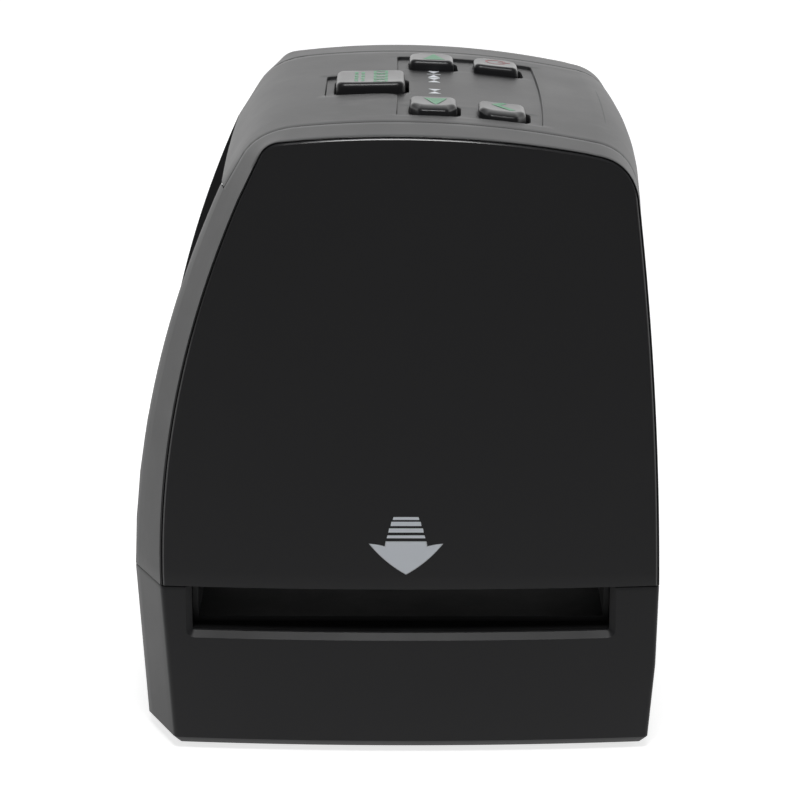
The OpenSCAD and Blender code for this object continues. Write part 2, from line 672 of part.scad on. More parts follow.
module lamp_board() color(board_colour) difference() {
    pad([0, slot_y], [lamp_x + 10, lamp_y + 3], 1, lamp_board_z, lamp_board_z + board_t);
    for (p = lamp_posts) translate([p[0], p[1], 0]) cylinder(d = small_screw_d + 0.3, h = 20);
}
module lamp_leds() color("#f3e9b0") for (i = [-1:1], j = [-1:1])
    translate([i * gate_x / 3, slot_y + j * gate_y / 3, lamp_board_z + board_t])
        linear_extrude(0.8) rounded(3, 3, 0.4);
module light_box() color(white_colour) difference() {
    pad([0, slot_y], [lamp_x, lamp_y], 1.5, lamp_board_z + board_t, guide_z0);
    pad([0, slot_y], [lamp_x - 2 * lamp_wall, lamp_y - 2 * lamp_wall], 1,
        lamp_board_z, guide_z0 - lamp_wall);
    pad([0, slot_y], [gate_x + 1, gate_y + 1], 1, lamp_board_z, guide_z0 + 1);
}
module diffuser() color("white")
    pad([0, slot_y], [gate_x + 3.4, gate_y + 3.4], 0.5, guide_z0, guide_z0 + diffuser_t);

// flat strip bent along a line in (y, z), w wide, centred on x
ribbon_t = 0.3;
function side_of(p, i) = let (u = unit(p[min(i + 1, len(p) - 1)] - p[max(i - 1, 0)]))
    [-u[1], u[0]] * ribbon_t / 2;
module strip(x, w, path) translate([x - w / 2, 0, 0]) rotate([90, 0, 90]) linear_extrude(w)
    polygon(concat([for (i = [0:len(path) - 1]) path[i] + side_of(path, i)],
                   [for (i = [len(path) - 1:-1:0]) path[i] - side_of(path, i)]));
module lamp_ribbon() color(ribbon_colour) {
    y1 = back_reach - 5.1;
    z0 = lamp_board_z + board_t + ribbon_t / 2;
    z1 = port_z0 - ribbon_t / 2 - 0.05;
    strip(0, 8, concat([[slot_y + lamp_y / 2 + 0.45, z0]],
        bend([y1 - 4, z0], [y1, z0], [y1, z0 + 4], 5),
        bend([y1, z1 - 3], [y1, z1], [y1 - 3, z1], 5)));
}

// ---- lens column ---------------------------------------------------------------------------------

hood_z1 = plate_z1 + hood_h;
hood_wall = 1.5;
hood_top = barrel_d + 8;
hood_spots = [[gate_x / 2 + 3.2, slot_y - 10], [-(gate_x / 2 + 3.2), slot_y - 10],
              [gate_x / 2 + 3.2, slot_y + 10], [-(gate_x / 2 + 3.2), slot_y + 10]];
mount_h = 14;
mount_z1 = hood_z1 + mount_h + 2;
sensor_pocket = 5.5;
barrel_z0 = hood_z1 - 4;
barrel_z1 = mount_z1 - sensor_pocket - 0.5;

module lens_hood() color("#151517") difference() {
    union() {
        hull() {
            pad([0, slot_y], [gate_x + 2 * hood_wall, gate_y + 2 * hood_wall], 2,
                plate_z1, plate_z1 + 0.1);
            pad([0, slot_y], [hood_top, hood_top], 2, hood_z1 - 0.1, hood_z1);
        }
        pad([0, slot_y], [gate_x + 11, gate_y + 5], 2, plate_z1, plate_z1 + 1.4);
    }
    hull() {
        pad([0, slot_y], [gate_x, gate_y], 1, plate_z1 - 0.1, plate_z1);
        pad([0, slot_y], [hood_top - 3, hood_top - 3], 1, hood_z1 - 2.6, hood_z1 - 2.5);
    }
    translate([0, slot_y, hood_z1 - 5]) cylinder(d = barrel_d + 0.6, h = 10);
    for (p = hood_spots) translate([p[0], p[1], plate_z1 - 1])
        cylinder(d = small_screw_d + 0.3, h = 4);
}

module lens_mount() color(inner_colour) difference() {
    pad([0, slot_y], [hood_top + 8, hood_top], 1.5, hood_z1, mount_z1);
    translate([0, slot_y, hood_z1 - 1]) cylinder(d = barrel_d + 0.1, h = mount_h + 20, $fn = 48);
    pad([0, slot_y], [14, 14], 1, mount_z1 - sensor_pocket, mount_z1 + 1);
    for (p = sensor_spots) translate([p[0], p[1], mount_z1 - 5])
        cylinder(d = small_screw_d + 0.1, h = 6);
}
module lens_barrel() color("#101012") translate([0, slot_y, 0]) difference() {
    translate([0, 0, barrel_z0]) cylinder(d = barrel_d, h = barrel_z1 - barrel_z0, $fn = 48);
    translate([0, 0, barrel_z0 - 1]) cylinder(d = barrel_d - 5, h = 60, $fn = 48);
    translate([0, 0, barrel_z0 - 1]) cylinder(d = barrel_d - 2, h = 4, $fn = 48);
    translate([0, 0, barrel_z1 - 3]) cylinder(d = barrel_d - 3, h = 4, $fn = 48);
}
// a lens element: the disc's faces bulge as two spherical caps
module element(d, edge, z0) translate([0, slot_y, z0]) rotate_extrude($fn = 48)
    polygon(concat([[0, -0.5]],
        [for (i = [1:5]) [d / 2 * i / 5, -0.5 * (1 - pow(i / 5, 2))]],
        [for (i = [5:-1:0]) [d / 2 * i / 5, edge + 0.5 * (1 - pow(i / 5, 2))]]));
module front_lens() color("#8fb7d8") element(barrel_d - 2.05, 1.6, barrel_z0 + 1);
module rear_lens() color("#8fb7d8") element(barrel_d - 3.05, 1.4, barrel_z1 - 2.6);

sensor_half = 17;
sensor_spots = [[11.5, slot_y], [-11.5, slot_y]];
module sensor_board() color(board_colour) difference() {
    pad([0, slot_y], [2 * sensor_half, 2 * sensor_half], 1, mount_z1, mount_z1 + board_t);
    for (p = sensor_spots) translate([p[0], p[1], mount_z1 - 1])
        cylinder(d = small_screw_d + 0.3, h = 6);
}
module image_sensor() color("#3a3f52")
    pad([0, slot_y], [11, 9], 0.3, mount_z1 - 1.4, mount_z1);

// ---- display ------------------------------------------------------------------------------------

module lcd_module() color("#15171c") at_window()
    translate([0, 0, lcd_z0]) linear_extrude(lcd_t) rounded(lcd_w, lcd_h, 0.5);
module lcd_bracket() color(metal_colour) at_window() translate([0, 0, bracket_z1 - bracket_t])
    difference() {
        linear_extrude(bracket_t) rounded(lcd_w + 1, 2 * bracket_y + 5, 1);
        translate([0, 0, -1]) linear_extrude(4) rounded(lcd_w - 10, lcd_h - 8, 2);
        for (p = bracket_spots) translate([p[0], p[1], -1])
            cylinder(d = small_screw_d + 0.3, h = 4);
    }
module lcd_screws() color(metal_colour) at_window() for (p = bracket_spots)
    translate([p[0], p[1], bracket_z1 - bracket_t]) screw(1.6, 0.9, small_screw_d, 2.6);

// ---- boards -------------------------------------------------------------------------------------

port_y1 = back_reach - 3.3;
port_y0 = slot_y + gate_y / 2 + hood_wall + 0.25;
port_posts = [[port_half - 2.7, port_y0 + 4.1], [2.7 - port_half, port_y0 + 4.1],
              [port_half - 2.7, port_y1 - 4.4], [2.7 - port_half, port_y1 - 4.4]];
card_d = port_y1 - port_y0 - 2;
module port_board() color(board_colour) difference() {
    span([-port_half, port_y0, port_z0], [port_half, port_y1, port_z1]);
    for (p = port_posts) translate([p[0], p[1], port_z0 - 1])
        cylinder(d = small_screw_d + 0.3, h = 4);
}
module card_socket() color(metal_colour) difference() {
    span([-card_w / 2, port_y1 - card_d, port_z1], [card_w / 2, port_y1, port_z1 + card_h]);
    span([-card_w / 2 + 0.8, port_y1 - card_d + 1.5, port_z1 + 0.4],
         [card_w / 2 - 0.8, port_y1 + 1, port_z1 + card_h - 0.4]);
}
module usb_socket() color(metal_colour) difference() {
    span([usb_x - usb_w / 2, port_y1 - 8, port_z1],
         [usb_x + usb_w / 2, port_y1 + 1.6, port_z1 + usb_h]);
    span([usb_x - usb_w / 2 + 0.4, port_y1 - 5, port_z1 + 0.4],
         [usb_x + usb_w / 2 - 0.4, port_y1 + 3, port_z1 + usb_h - 0.4]);
    span([usb_x - usb_w / 2 - 1, port_y1 - 8, port_z1 - 1], [usb_x - usb_w / 2 + 0.01,
         port_y1 + 2, port_z1]);
}
module video_socket() color(inner_colour) difference() {
    union() {
        span([video_x - 3, port_y1 - 11, port_z1], [video_x + 3, port_y1, port_z1 + 6]);
        translate([video_x, port_y1 - 1, port_z1 + 3]) rotate([-90, 0, 0])
            cylinder(d = video_d, h = 2.6);
    }
    translate([video_x, port_y1 - 9, port_z1 + 3]) rotate([-90, 0, 0])
        cylinder(d = 3.6, h = 20);
}
module main_board() color(board_colour) difference() {
    span([-main_half, main_y0, main_z0], [main_half, main_y1, main_z1]);
    for (p = main_posts) translate([p[0], main_y0 - 1, p[1]]) rotate([-90, 0, 0])
        cylinder(d = small_screw_d + 0.3, h = 4);
}
// each chip: its place as shares of the board's half width and height, then its size
chips = [[-0.107, 0.583, [14, 1.2, 14]], [0.464, 0.496, [10, 1, 8]],
         [0.375, 0.757, [5, 0.9, 4]], [-0.589, 0.22, [5, 1.1, 5]]];
module main_chips() color("#17171a") for (c = chips)
    translate([c[0] * main_half - c[2][0] / 2, main_y0 - c[2][1],
               main_z0 + c[1] * (main_z1 - main_z0) - c[2][2] / 2]) cube(c[2]);

// Sockets that hold the flat ribbons, three on the main board and one at each far end.
// A ribbon's line: centre across, width, height of its socket on the main board
socket_h = 1.6;
socket_t = 2.4;
display_line = [19.5, 9, main_z0 + 0.24 * (main_z1 - main_z0)];
sensor_line = [0, 12, main_z0 + 0.858 * (main_z1 - main_z0)];
key_line = [-14, 10, main_z0 + 0.925 * (main_z1 - main_z0)];
sensor_socket_y = slot_y + sensor_half - 2;
key_socket_y = key_board_y1 - 2;
ribbon_y1 = main_y0 - socket_h - ribbon_t;   // ribbons end at the faces of their sockets
module ribbon_sockets() color(white_colour) {
    for (l = [display_line, sensor_line, key_line])
        span([l[0] - l[1] / 2 - 1, main_y0 - socket_h, l[2] - socket_t / 2],
             [l[0] + l[1] / 2 + 1, main_y0, l[2] + socket_t / 2]);
    span([-sensor_line[1] / 2 - 1, sensor_socket_y - 3, mount_z1 + board_t],
         [sensor_line[1] / 2 + 1, sensor_socket_y, mount_z1 + board_t + socket_h]);
    span([key_line[0] - key_line[1] / 2 - 1, key_socket_y - 3, key_board_z0 - socket_h],
         [key_line[0] + key_line[1] / 2 + 1, key_socket_y, key_board_z0]);
}
module sensor_ribbon() color(ribbon_colour) {
    y0 = sensor_socket_y + 0.2;
    z0 = mount_z1 + board_t + socket_h / 2;
    strip(sensor_line[0], sensor_line[1],
          bend([y0, z0], [(y0 + ribbon_y1) / 2, z0 + 1], [ribbon_y1, sensor_line[2]], 6));
}
module display_ribbon() color(ribbon_colour) {
    z1 = display_line[2];
    z0 = z1 + 2.8;
    back = window_mid[0] + (z0 - window_mid[1]) * tan(window_tilt) - lcd_z0 / cos(window_tilt);
    strip(display_line[0], display_line[1], concat([[back + 0.4, z0]],
        bend([back + 4, z0], [0, z1 - 4], [ribbon_y1 - 3, z1], 8), [[ribbon_y1, z1]]));
}
module key_ribbon() color(ribbon_colour) {
    z0 = key_board_z0 - socket_h / 2;
    strip(key_line[0], key_line[1], bend([key_socket_y + 0.2, z0], [ribbon_y1 - 0.5, z0],
        [ribbon_y1, key_line[2]], 6));
}

module board_screws() color(metal_colour) {
    for (p = key_posts) translate([p[0], p[1], key_board_z0])
        screw(1.6, 1, small_screw_d, board_t + 4);
    for (p = main_posts) translate([p[0], main_y0, p[1]]) rotate([-90, 0, 0])
        screw(1.6, 1, small_screw_d, board_t + 2.5);
    for (p = port_posts) translate([p[0], p[1], port_z1]) rotate([180, 0, 0])
        screw(1.6, 1, small_screw_d, board_t + 4);
    for (p = lamp_posts) translate([p[0], p[1], lamp_board_z + board_t]) rotate([180, 0, 0])
        screw(1.6, 1, small_screw_d, board_t + 1.5);
    for (p = guide_posts) translate([p[0], p[1], sill_z]) rotate([180, 0, 0])
        screw(1.6, 1, small_screw_d, 6);
    for (p = hood_spots) translate([p[0], p[1], plate_z1 + 1.4]) rotate([180, 0, 0])
        screw(1.6, 1, small_screw_d, 2.8);
    for (p = sensor_spots) translate([p[0], p[1], mount_z1 + board_t]) rotate([180, 0, 0])
        screw(1.6, 1, small_screw_d, board_t + 3);
}

// puts the origin under the middle of the whole object
shift_y = (front_reach + swell - back_reach) / 2;
module centred() translate([0, shift_y, 0]) children();

centred() bottom_case();
centred() right_side_cover();
centred() left_side_cover();
centred() top_cover();
centred() front_cover();
centred() rear_cover();
centred() display_window();
centred() rubber_feet();
centred() case_screws();
centred() scan_button();
centred() left_arrow_button();
centred() right_arrow_button();
centred() power_button();
centred() ok_button();
centred() key_board();
centred() switch_bodies();
centred() scan_plunger();
centred() left_arrow_plunger();
centred() right_arrow_plunger();
centred() power_plunger();
centred() ok_plunger();
centred() lower_film_guide();
centred() upper_film_guide();
centred() detent_plunger();
centred() detent_spring();
centred() light_box();
centred() diffuser();
centred() lamp_board();
centred() lamp_leds();
centred() lamp_ribbon();
centred() lens_hood();
centred() lens_mount();
centred() lens_barrel();
centred() front_lens();
centred() rear_lens();
centred() image_sensor();
centred() sensor_board();
centred() sensor_ribbon();
centred() lcd_module();
centred() lcd_bracket();
centred() lcd_screws();
centred() display_ribbon();
centred() main_board();
centred() main_chips();
centred() ribbon_sockets();
centred() port_board();
centred() card_socket();
centred() usb_socket();
centred() video_socket();
centred() board_screws();
centred() key_ribbon();
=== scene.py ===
import math

import bmesh
import bpy
import numpy as np
from mathutils.geometry import delaunay_2d_cdt
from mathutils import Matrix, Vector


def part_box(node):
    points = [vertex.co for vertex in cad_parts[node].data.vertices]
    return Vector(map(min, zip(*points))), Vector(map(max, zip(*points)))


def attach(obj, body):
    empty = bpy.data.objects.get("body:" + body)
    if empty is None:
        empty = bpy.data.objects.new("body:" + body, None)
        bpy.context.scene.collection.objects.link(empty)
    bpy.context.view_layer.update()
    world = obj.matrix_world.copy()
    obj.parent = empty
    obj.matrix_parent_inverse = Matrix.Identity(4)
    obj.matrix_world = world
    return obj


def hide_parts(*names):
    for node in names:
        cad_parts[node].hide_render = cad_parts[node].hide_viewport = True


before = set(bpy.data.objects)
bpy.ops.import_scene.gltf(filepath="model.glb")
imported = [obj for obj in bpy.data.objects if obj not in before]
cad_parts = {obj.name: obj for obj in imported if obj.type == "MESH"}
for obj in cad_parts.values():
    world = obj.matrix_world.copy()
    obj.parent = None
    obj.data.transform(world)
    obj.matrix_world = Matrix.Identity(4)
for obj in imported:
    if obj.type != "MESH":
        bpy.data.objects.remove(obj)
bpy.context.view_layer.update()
mm = 0.001

# Sizes of the body's form, in millimetres.
form = {
    "halfWidth": 43.0,       # side faces stand this far out at the middle
    "faceRadius": 400.0,     # each side face is a very shallow barrel
    "bandHalf": 33.1,        # seam between side covers and top cover
    "rimHalf": 29.5,         # seam between side covers and front cover
    "splitZ": 28.2,          # seam between base and covers
    "shoulderZ": 92.8,       # front and back end here, nose and tail begin
    "rearTopZ": 88.8,        # seam between top cover and rear cover
    "wall": 1.8,
    "gap": 0.06,             # half of each seam
    "seamRound": 0.1,        # how far the edges along the seams fall
    "edgeDrop": 0.045,       # slope of top and back towards the side faces
    "frontRound": 0.75,      # upright edges of the base
    "backRound": 0.8,
    "frontY": -45.0,
    "backY": 41.7,
    "stripWide": 3.6,        # from the front cover's seam to the top cover's
}
# The middle of the body seen from the side: points of its curves as y and z.
profile = {
    "frontLean": 15.1, "frontBow": 14.4,
    "noseCorner": (-23.9, 102.2), "noseForward": 1.6,
    "noseStraight": 0.35,    # part of the nose, in t, that is straight
    "noseBend": (0.55, 0.21),  # where its curve starts along the straight: in the middle, and added outside
    "crownY": -17.0, "crownBack": 3.4, "crownZ": 102.85,
    "topLong": 47.2, "topFall": 2.6, "topArch": 7.2,
    "tailStart": (30.2, 100.25), "tailBend": (36.0, 99.0), "tailEndY": 37.15,
    "tailEdge": 0.4,         # share of the edge's fall that the tail's bend takes
    "backLean": 4.55, "backBow": 3.6,
}
# How the front and back turn in towards the side faces, as slopes, and bow out in the middle.
plan = {"frontTurn": 0.437, "frontTurnLess": 0.13, "frontShare": 0.61, "frontSwell": 0.8, "topSwell": 0.15,
        "backSwell": 1.2, "outWide": 8.9}
# Sizes in y are written from a line between the base's front and back; the frame is centred.
form["shift"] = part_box("bottom_case")[1].y / mm - form["backY"]


# How far the front, the top and the back draw in at a distance x from the middle plane. The front's
# share gets less up to the shoulder (climb 0 to 1), by more inside the seam than past it; the back
# bows out in the middle, from nothing at the split to the whole at the shoulder (bow 0 to 1).
def drawIn(x, climb=0.0, bow=0.0):
    side = np.abs(x)
    past = np.maximum(0, side - form["bandHalf"])
    swell = 1 - np.clip(side / form["rimHalf"], 0, 1) ** 2
    turn = plan["frontTurn"] * np.clip(side - form["rimHalf"], 0, form["stripWide"])
    front = (turn - plan["frontSwell"] * swell) * (1 - plan["frontShare"] * climb)
    front = front + past * (plan["frontTurn"] - plan["frontTurnLess"] * climb)
    fall = form["edgeDrop"] * past
    return (front, fall - plan["topSwell"] * swell,
            fall - plan["backSwell"] * bow * (1 - np.clip(side / form["bandHalf"], 0, 1) ** 2))


# Height of the arched top over y: a line that falls to the back, and a shallow parabola on it.
def topZ(y):
    t = (y - profile["crownY"]) / profile["topLong"]
    return profile["crownZ"] - profile["topFall"] * t + profile["topArch"] * t * (1 - t)


# A quadratic curve from a over b to c, with its parameter t from 0 to 1.
def bend(a, b, c, t):
    return (1 - t) ** 2 * a + 2 * t * (1 - t) * b + t * t * c


# A cross-section of the body as s goes from 0 to 5: the bowed front, the nose (a straight piece and
# a quadratic curve), the arched top, the tail curve and the back. Each piece has its own local t.
def sectionLine(s, x):
    s, x = np.broadcast_arrays(np.asarray(s, float), np.asarray(x, float))
    piece = np.clip(np.floor(s), 0, 4)
    t = s - piece
    front, top, back = drawIn(x, np.clip(s, 0, 1), np.clip(5 - s, 0, 1))
    out = np.clip((np.abs(x) - form["bandHalf"]) / plan["outWide"], 0, 1)
    rise = form["shoulderZ"] - form["splitZ"]
    p = profile
    shoulderY = form["frontY"] + p["frontLean"]
    shoulder = np.stack([shoulderY + drawIn(x, 1)[0], np.full_like(t, form["shoulderZ"])])
    corner = np.stack([p["noseCorner"][0] + p["noseForward"] * out, p["noseCorner"][1] - top])
    crownY = p["crownY"] + top - p["crownBack"] * out
    crown = np.stack([crownY, topZ(crownY) - top])
    bendStart = shoulder + (p["noseBend"][0] + p["noseBend"][1] * out) * (corner - shoulder)
    q = np.clip((t - p["noseStraight"]) / (1 - p["noseStraight"]), 0, 1)
    straight = shoulder + (bendStart - shoulder) * np.clip(t / p["noseStraight"], 0, 1)
    nose = np.where(t < p["noseStraight"], straight, bend(bendStart, corner, crown, q))
    yTop = (1 - t) * crownY + t * (p["tailStart"][0] - back)
    tail = bend(np.stack([p["tailStart"][0] - back, p["tailStart"][1] - top]),
                np.stack([p["tailBend"][0] - back, p["tailBend"][1] - p["tailEdge"] * top]),
                np.stack([p["tailEndY"] - back, np.full_like(t, form["shoulderZ"])]), t)
    b = 1 - t
    pieces = [piece == 0, piece == 1, piece == 2, piece == 3]
    frontY = form["frontY"] + p["frontLean"] * t - p["frontBow"] * t * b + front
    backY = form["backY"] - p["backLean"] * b + p["backBow"] * b * (1 - b) - back
    y = np.select(pieces, [frontY, nose[0], yTop, tail[0]], backY)
    z = np.select(pieces, [form["splitZ"] + rise * t, nose[1], topZ(yTop) - top, tail[1]],
                  form["shoulderZ"] - rise * t)
    return y, z


# Unit direction along the cross-section, by a small step each way.
def sectionDirection(s, x):
    step = 1e-3
    y0, z0 = sectionLine(np.clip(s - step, 0, 5), x)
    y1, z1 = sectionLine(np.clip(s + step, 0, 5), x)
    length = np.hypot(y1 - y0, z1 - z0)
    return (y1 - y0) / length, (z1 - z0) / length


# The cross-section moved inwards by depth, square to itself.
def skin(s, x, depth=0.0):
    y, z = sectionLine(s, x)
    dy, dz = sectionDirection(s, x)
    return y + depth * dz, z - depth * dy


# How far out a side face stands at y: an arc of a wide circle.
def faceX(y):
    return form["halfWidth"] - form["faceRadius"] + np.sqrt(form["faceRadius"] ** 2 - y ** 2)


# Repeats until an edge of the side face, whose x and y depend on each other, has settled.
settleSteps = 8


# Quads of a grid of points, rows by columns, closed round the columns where it wraps.
def gridQuads(rows, columns, start=0, wrap=False):
    index = start + np.arange(rows * columns).reshape(rows, columns)
    if wrap:
        index = np.hstack([index, index[:, :1]])
    corners = [index[:-1, :-1], index[:-1, 1:], index[1:, 1:], index[1:, :-1]]
    return np.stack(corners, -1).reshape(-1, 4)


# Two skins of one layout become a closed shell: inner faces turned, open edges joined by quads.
def closeShell(outer, inner, faces):
    edges = np.stack([faces, np.roll(faces, -1, 1)], -1).reshape(-1, 2)
    _, back, count = np.unique(np.sort(edges, 1), axis=0, return_inverse=True, return_counts=True)
    rim = edges[count[back.ravel()] == 1]
    n = len(outer)
    sides = np.stack([rim[:, 1], rim[:, 0], rim[:, 0] + n, rim[:, 1] + n], 1)
    return (np.vstack([outer, inner]),
            faces.tolist() + (faces[:, ::-1] + n).tolist() + sides.tolist())


# Grids that share edges become one skin: points that agree to 0.1 micron are made one.
def joinGrids(grids, inners=None):
    faces, start = [], 0
    for g in grids:
        faces.append(gridQuads(g.shape[0], g.shape[1], start))
        start += g.shape[0] * g.shape[1]
    points = np.vstack([g.reshape(-1, 3) for g in grids])
    _, first, back = np.unique(np.round(points, 4), axis=0, return_index=True, return_inverse=True)
    back = back.ravel()
    inner = None if inners is None else np.vstack([g.reshape(-1, 3) for g in inners])[first]
    return points[first], inner, back[np.vstack(faces)]


# Loops stacked into a closed form, with a flat cap at each end.
def ringSolid(rows):
    rows = np.asarray(rows)
    count, around = rows.shape[:2]
    faces = gridQuads(count, around, wrap=True).tolist()
    caps = [list(range(around))[::-1], list(range((count - 1) * around, count * around))]
    return rows.reshape(-1, 3), faces + caps


# An object in the scene from a mesh, a lamp or a camera.
def addObject(name, data):
    thing = bpy.data.objects.new(name, data)
    bpy.context.scene.collection.objects.link(thing)
    return thing


# One object at the origin from points in millimetres, faces turned outwards, creases kept sharp.
def addPiece(name, points, faces):
    mesh = bpy.data.meshes.new(name)
    mesh.from_pydata(((np.asarray(points) + [0, form["shift"], 0]) * mm).tolist(), [], faces)
    work = bmesh.new()
    work.from_mesh(mesh)
    if work.calc_volume(signed=True) < 0:
        bmesh.ops.reverse_faces(work, faces=work.faces)
    work.to_mesh(mesh)
    work.free()
    piece = addObject(name, mesh)
    smooth(piece)
    return piece


# Smooth shading, with creases kept where faces meet at more than this angle.
creaseAngle = 32


def smooth(piece):
    piece.data.shade_smooth()
    piece.data.set_sharp_from_angle(angle=math.radians(creaseAngle))


# The piece's modifiers are applied to its mesh.
def bake(piece):
    graph = bpy.context.evaluated_depsgraph_get()
    mesh = bpy.data.meshes.new_from_object(piece.evaluated_get(graph))
    piece.modifiers.clear()
    piece.data = mesh
    smooth(piece)


# A small bevel on every edge sharper than the angle.
def softenEdges(piece, width, angle, segments=2):
    bevel = piece.modifiers.new("softEdges", "BEVEL")
    bevel.width = width * mm
    bevel.segments = segments
    bevel.limit_method = "ANGLE"
    bevel.angle_limit = math.radians(angle)
    bake(piece)


# The cutters are taken away from the piece and removed.
def carve(piece, cutters):
    for cutter in cutters:
        cut = piece.modifiers.new("carve", "BOOLEAN")
        cut.solver = "EXACT"
        cut.object = cutter
    bake(piece)
    for cutter in cutters:
        bpy.data.objects.remove(cutter)


# A piece gets its finish, its body, its slot and the nodes that it stands for.
def place(piece, material, body="chassis", stands=()):
    piece.data.materials.clear()
    piece.data.materials.append(material)
    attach(piece, body)
    if stands:
        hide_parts(*stands)
    return piece


# A node's mesh as a new piece: loose triangles merged, edges softened.
def fromNode(node, name, width, angle):
    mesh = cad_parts[node].data.copy()
    work = bmesh.new()
    work.from_mesh(mesh)
    bmesh.ops.remove_doubles(work, verts=work.verts, dist=1e-6)
    bmesh.ops.dissolve_limit(work, angle_limit=math.radians(0.4), verts=work.verts,
                             edges=work.edges)
    work.to_mesh(mesh)
    work.free()
    piece = addObject(name, mesh)
    softenEdges(piece, width, angle)
    return piece


# Corner points, anticlockwise, become a loop with an arc at each corner; grow moves it outwards.
def roundedLoop(corners, radii, grow=0.0, step=0.6, arcSteps=8):
    corners = np.asarray(corners, float)
    ahead = np.roll(corners, -1, 0) - corners
    ahead /= np.linalg.norm(ahead, axis=1)[:, None]
    behind = np.roll(ahead, 1, 0)
    outA = np.stack([behind[:, 1], -behind[:, 0]], 1)
    outB = np.stack([ahead[:, 1], -ahead[:, 0]], 1)
    dot = (outA * outB).sum(1)
    moved = corners + grow * (outA + outB) / (1 + dot)[:, None]
    turn = np.arctan2(behind[:, 0] * ahead[:, 1] - behind[:, 1] * ahead[:, 0],
                      (behind * ahead).sum(1))
    radius = np.maximum(np.asarray(radii, float) + grow * np.sign(turn), 0.02)
    reach = radius * np.tan(np.abs(turn) / 2)
    arcs = []
    for k in range(len(corners)):        # an arc at each corner
        start = moved[k] - behind[k] * reach[k]
        left = np.array([-behind[k][1], behind[k][0]]) * np.sign(turn[k])
        centre = start + left * radius[k]
        a = np.linspace(0, turn[k], arcSteps + 1)
        spoke = start - centre
        arcs.append(centre + np.stack([spoke[0] * np.cos(a) - spoke[1] * np.sin(a),
                                       spoke[0] * np.sin(a) + spoke[1] * np.cos(a)], 1))
    parts = []
    for k in range(len(arcs)):
        end, start = arcs[k][-1], arcs[(k + 1) % len(arcs)][0]
        n = max(1, int(math.ceil(np.linalg.norm(start - end) / step)))
        parts += [arcs[k], (end + (start - end) * np.linspace(0, 1, n + 1)[1:-1, None])]
    return np.vstack(parts)


# Corners of a rectangle about its middle, anticlockwise.
def rectangle(cx, cy, w, h):
    return [(cx - w / 2, cy - h / 2), (cx + w / 2, cy - h / 2), (cx + w / 2, cy + h / 2),
            (cx - w / 2, cy + h / 2)]


# A loop resampled to a fixed count of points, even along its length, from its rightmost point.
def evenLoop(loop, count):
    start = np.argmin(np.hypot(loop[:, 0] - loop[:, 0].max(), loop[:, 1] - loop[:, 1].mean()))
    loop = np.roll(loop, -start, 0)
    closed = np.vstack([loop, loop[:1]])
    run = np.r_[0, np.cumsum(np.linalg.norm(np.diff(closed, axis=0), axis=1))]
    at = np.linspace(0, run[-1], count + 1)[:-1]
    return np.stack([np.interp(at, run, closed[:, 0]), np.interp(at, run, closed[:, 1])], 1)


# Distance from points to a closed loop, below zero inside it (by crossings of a ray along x).
def loopDistance(points, loop):
    a, b = loop, np.roll(loop, -1, 0)
    ab = b - a
    rel = points[:, None] - a
    t = np.clip((rel * ab).sum(2) / np.maximum((ab * ab).sum(1), 1e-12), 0, 1)
    near = np.linalg.norm(rel - t[..., None] * ab, axis=2).min(1)
    spans = (a[:, 1] > points[:, None, 1]) != (b[:, 1] > points[:, None, 1])
    rise = np.where(np.abs(ab[:, 1]) < 1e-12, 1e-12, ab[:, 1])
    crossX = a[:, 0] + (points[:, None, 1] - a[:, 1]) * ab[:, 0] / rise
    inside = (spans & (points[:, None, 0] < crossX)).sum(1) % 2 == 1
    return np.where(inside, -near, near)


# A flat region laid out in triangles that keep every loop as an edge: the region inside border,
# without the holes. Points between the loops come from a lattice that keeps clear of them.
def tileRegion(border, loops, holes, lattice, clear=0.5):
    rings = [border] + list(loops) + list(holes)
    ringPoints = np.vstack(rings)
    far = np.linalg.norm(lattice[:, None] - ringPoints, axis=2).min(1) > clear
    inside = loopDistance(lattice, border) < -clear * 0.5
    points = np.vstack([ringPoints, lattice[far & inside]])
    edges, start = [], 0
    for ring in rings:
        i = start + np.arange(len(ring))
        edges.append(np.stack([i, np.roll(i, -1)], 1))
        start += len(ring)
    out = delaunay_2d_cdt(points.tolist(), np.vstack(edges).tolist(), [], 0, 1e-5)
    flat, faces = np.array(out[0]), np.array(out[2])
    middle = flat[faces].mean(1)
    keep = loopDistance(middle, border) < 0
    for hole in holes:
        keep &= loopDistance(middle, hole) > 0
    faces = faces[keep]
    used, back = np.unique(faces, return_inverse=True)
    return flat[used], back.reshape(-1, 3)


# A shader effect that several materials share: a node group with named inputs and outputs.
class NodeGroup:
    def __init__(self, name, inputs, outputs):
        self.tree = bpy.data.node_groups.new(name, "ShaderNodeTree")
        for label, kind, value in inputs:
            socket = self.tree.interface.new_socket(label, in_out="INPUT", socket_type=kind)
            if value is not None:
                socket.default_value = value
        for label, kind in outputs:
            self.tree.interface.new_socket(label, in_out="OUTPUT", socket_type=kind)
        self.into = self.tree.nodes.new("NodeGroupInput")
        self.out = self.tree.nodes.new("NodeGroupOutput")

    def node(self, kind, values=None, **settings):
        return addNode(self.tree, kind, values, **settings)


# One node: settings are its own properties, values its inputs, linked where they are sockets.
def addNode(tree, kind, values=None, **settings):
    node = tree.nodes.new(kind)
    for key, value in settings.items():
        setattr(node, key, value)
    for key, value in (values or {}).items():
        if isinstance(value, bpy.types.NodeSocket):
            tree.links.new(value, node.inputs[key])
        else:
            node.inputs[key].default_value = value
    return node


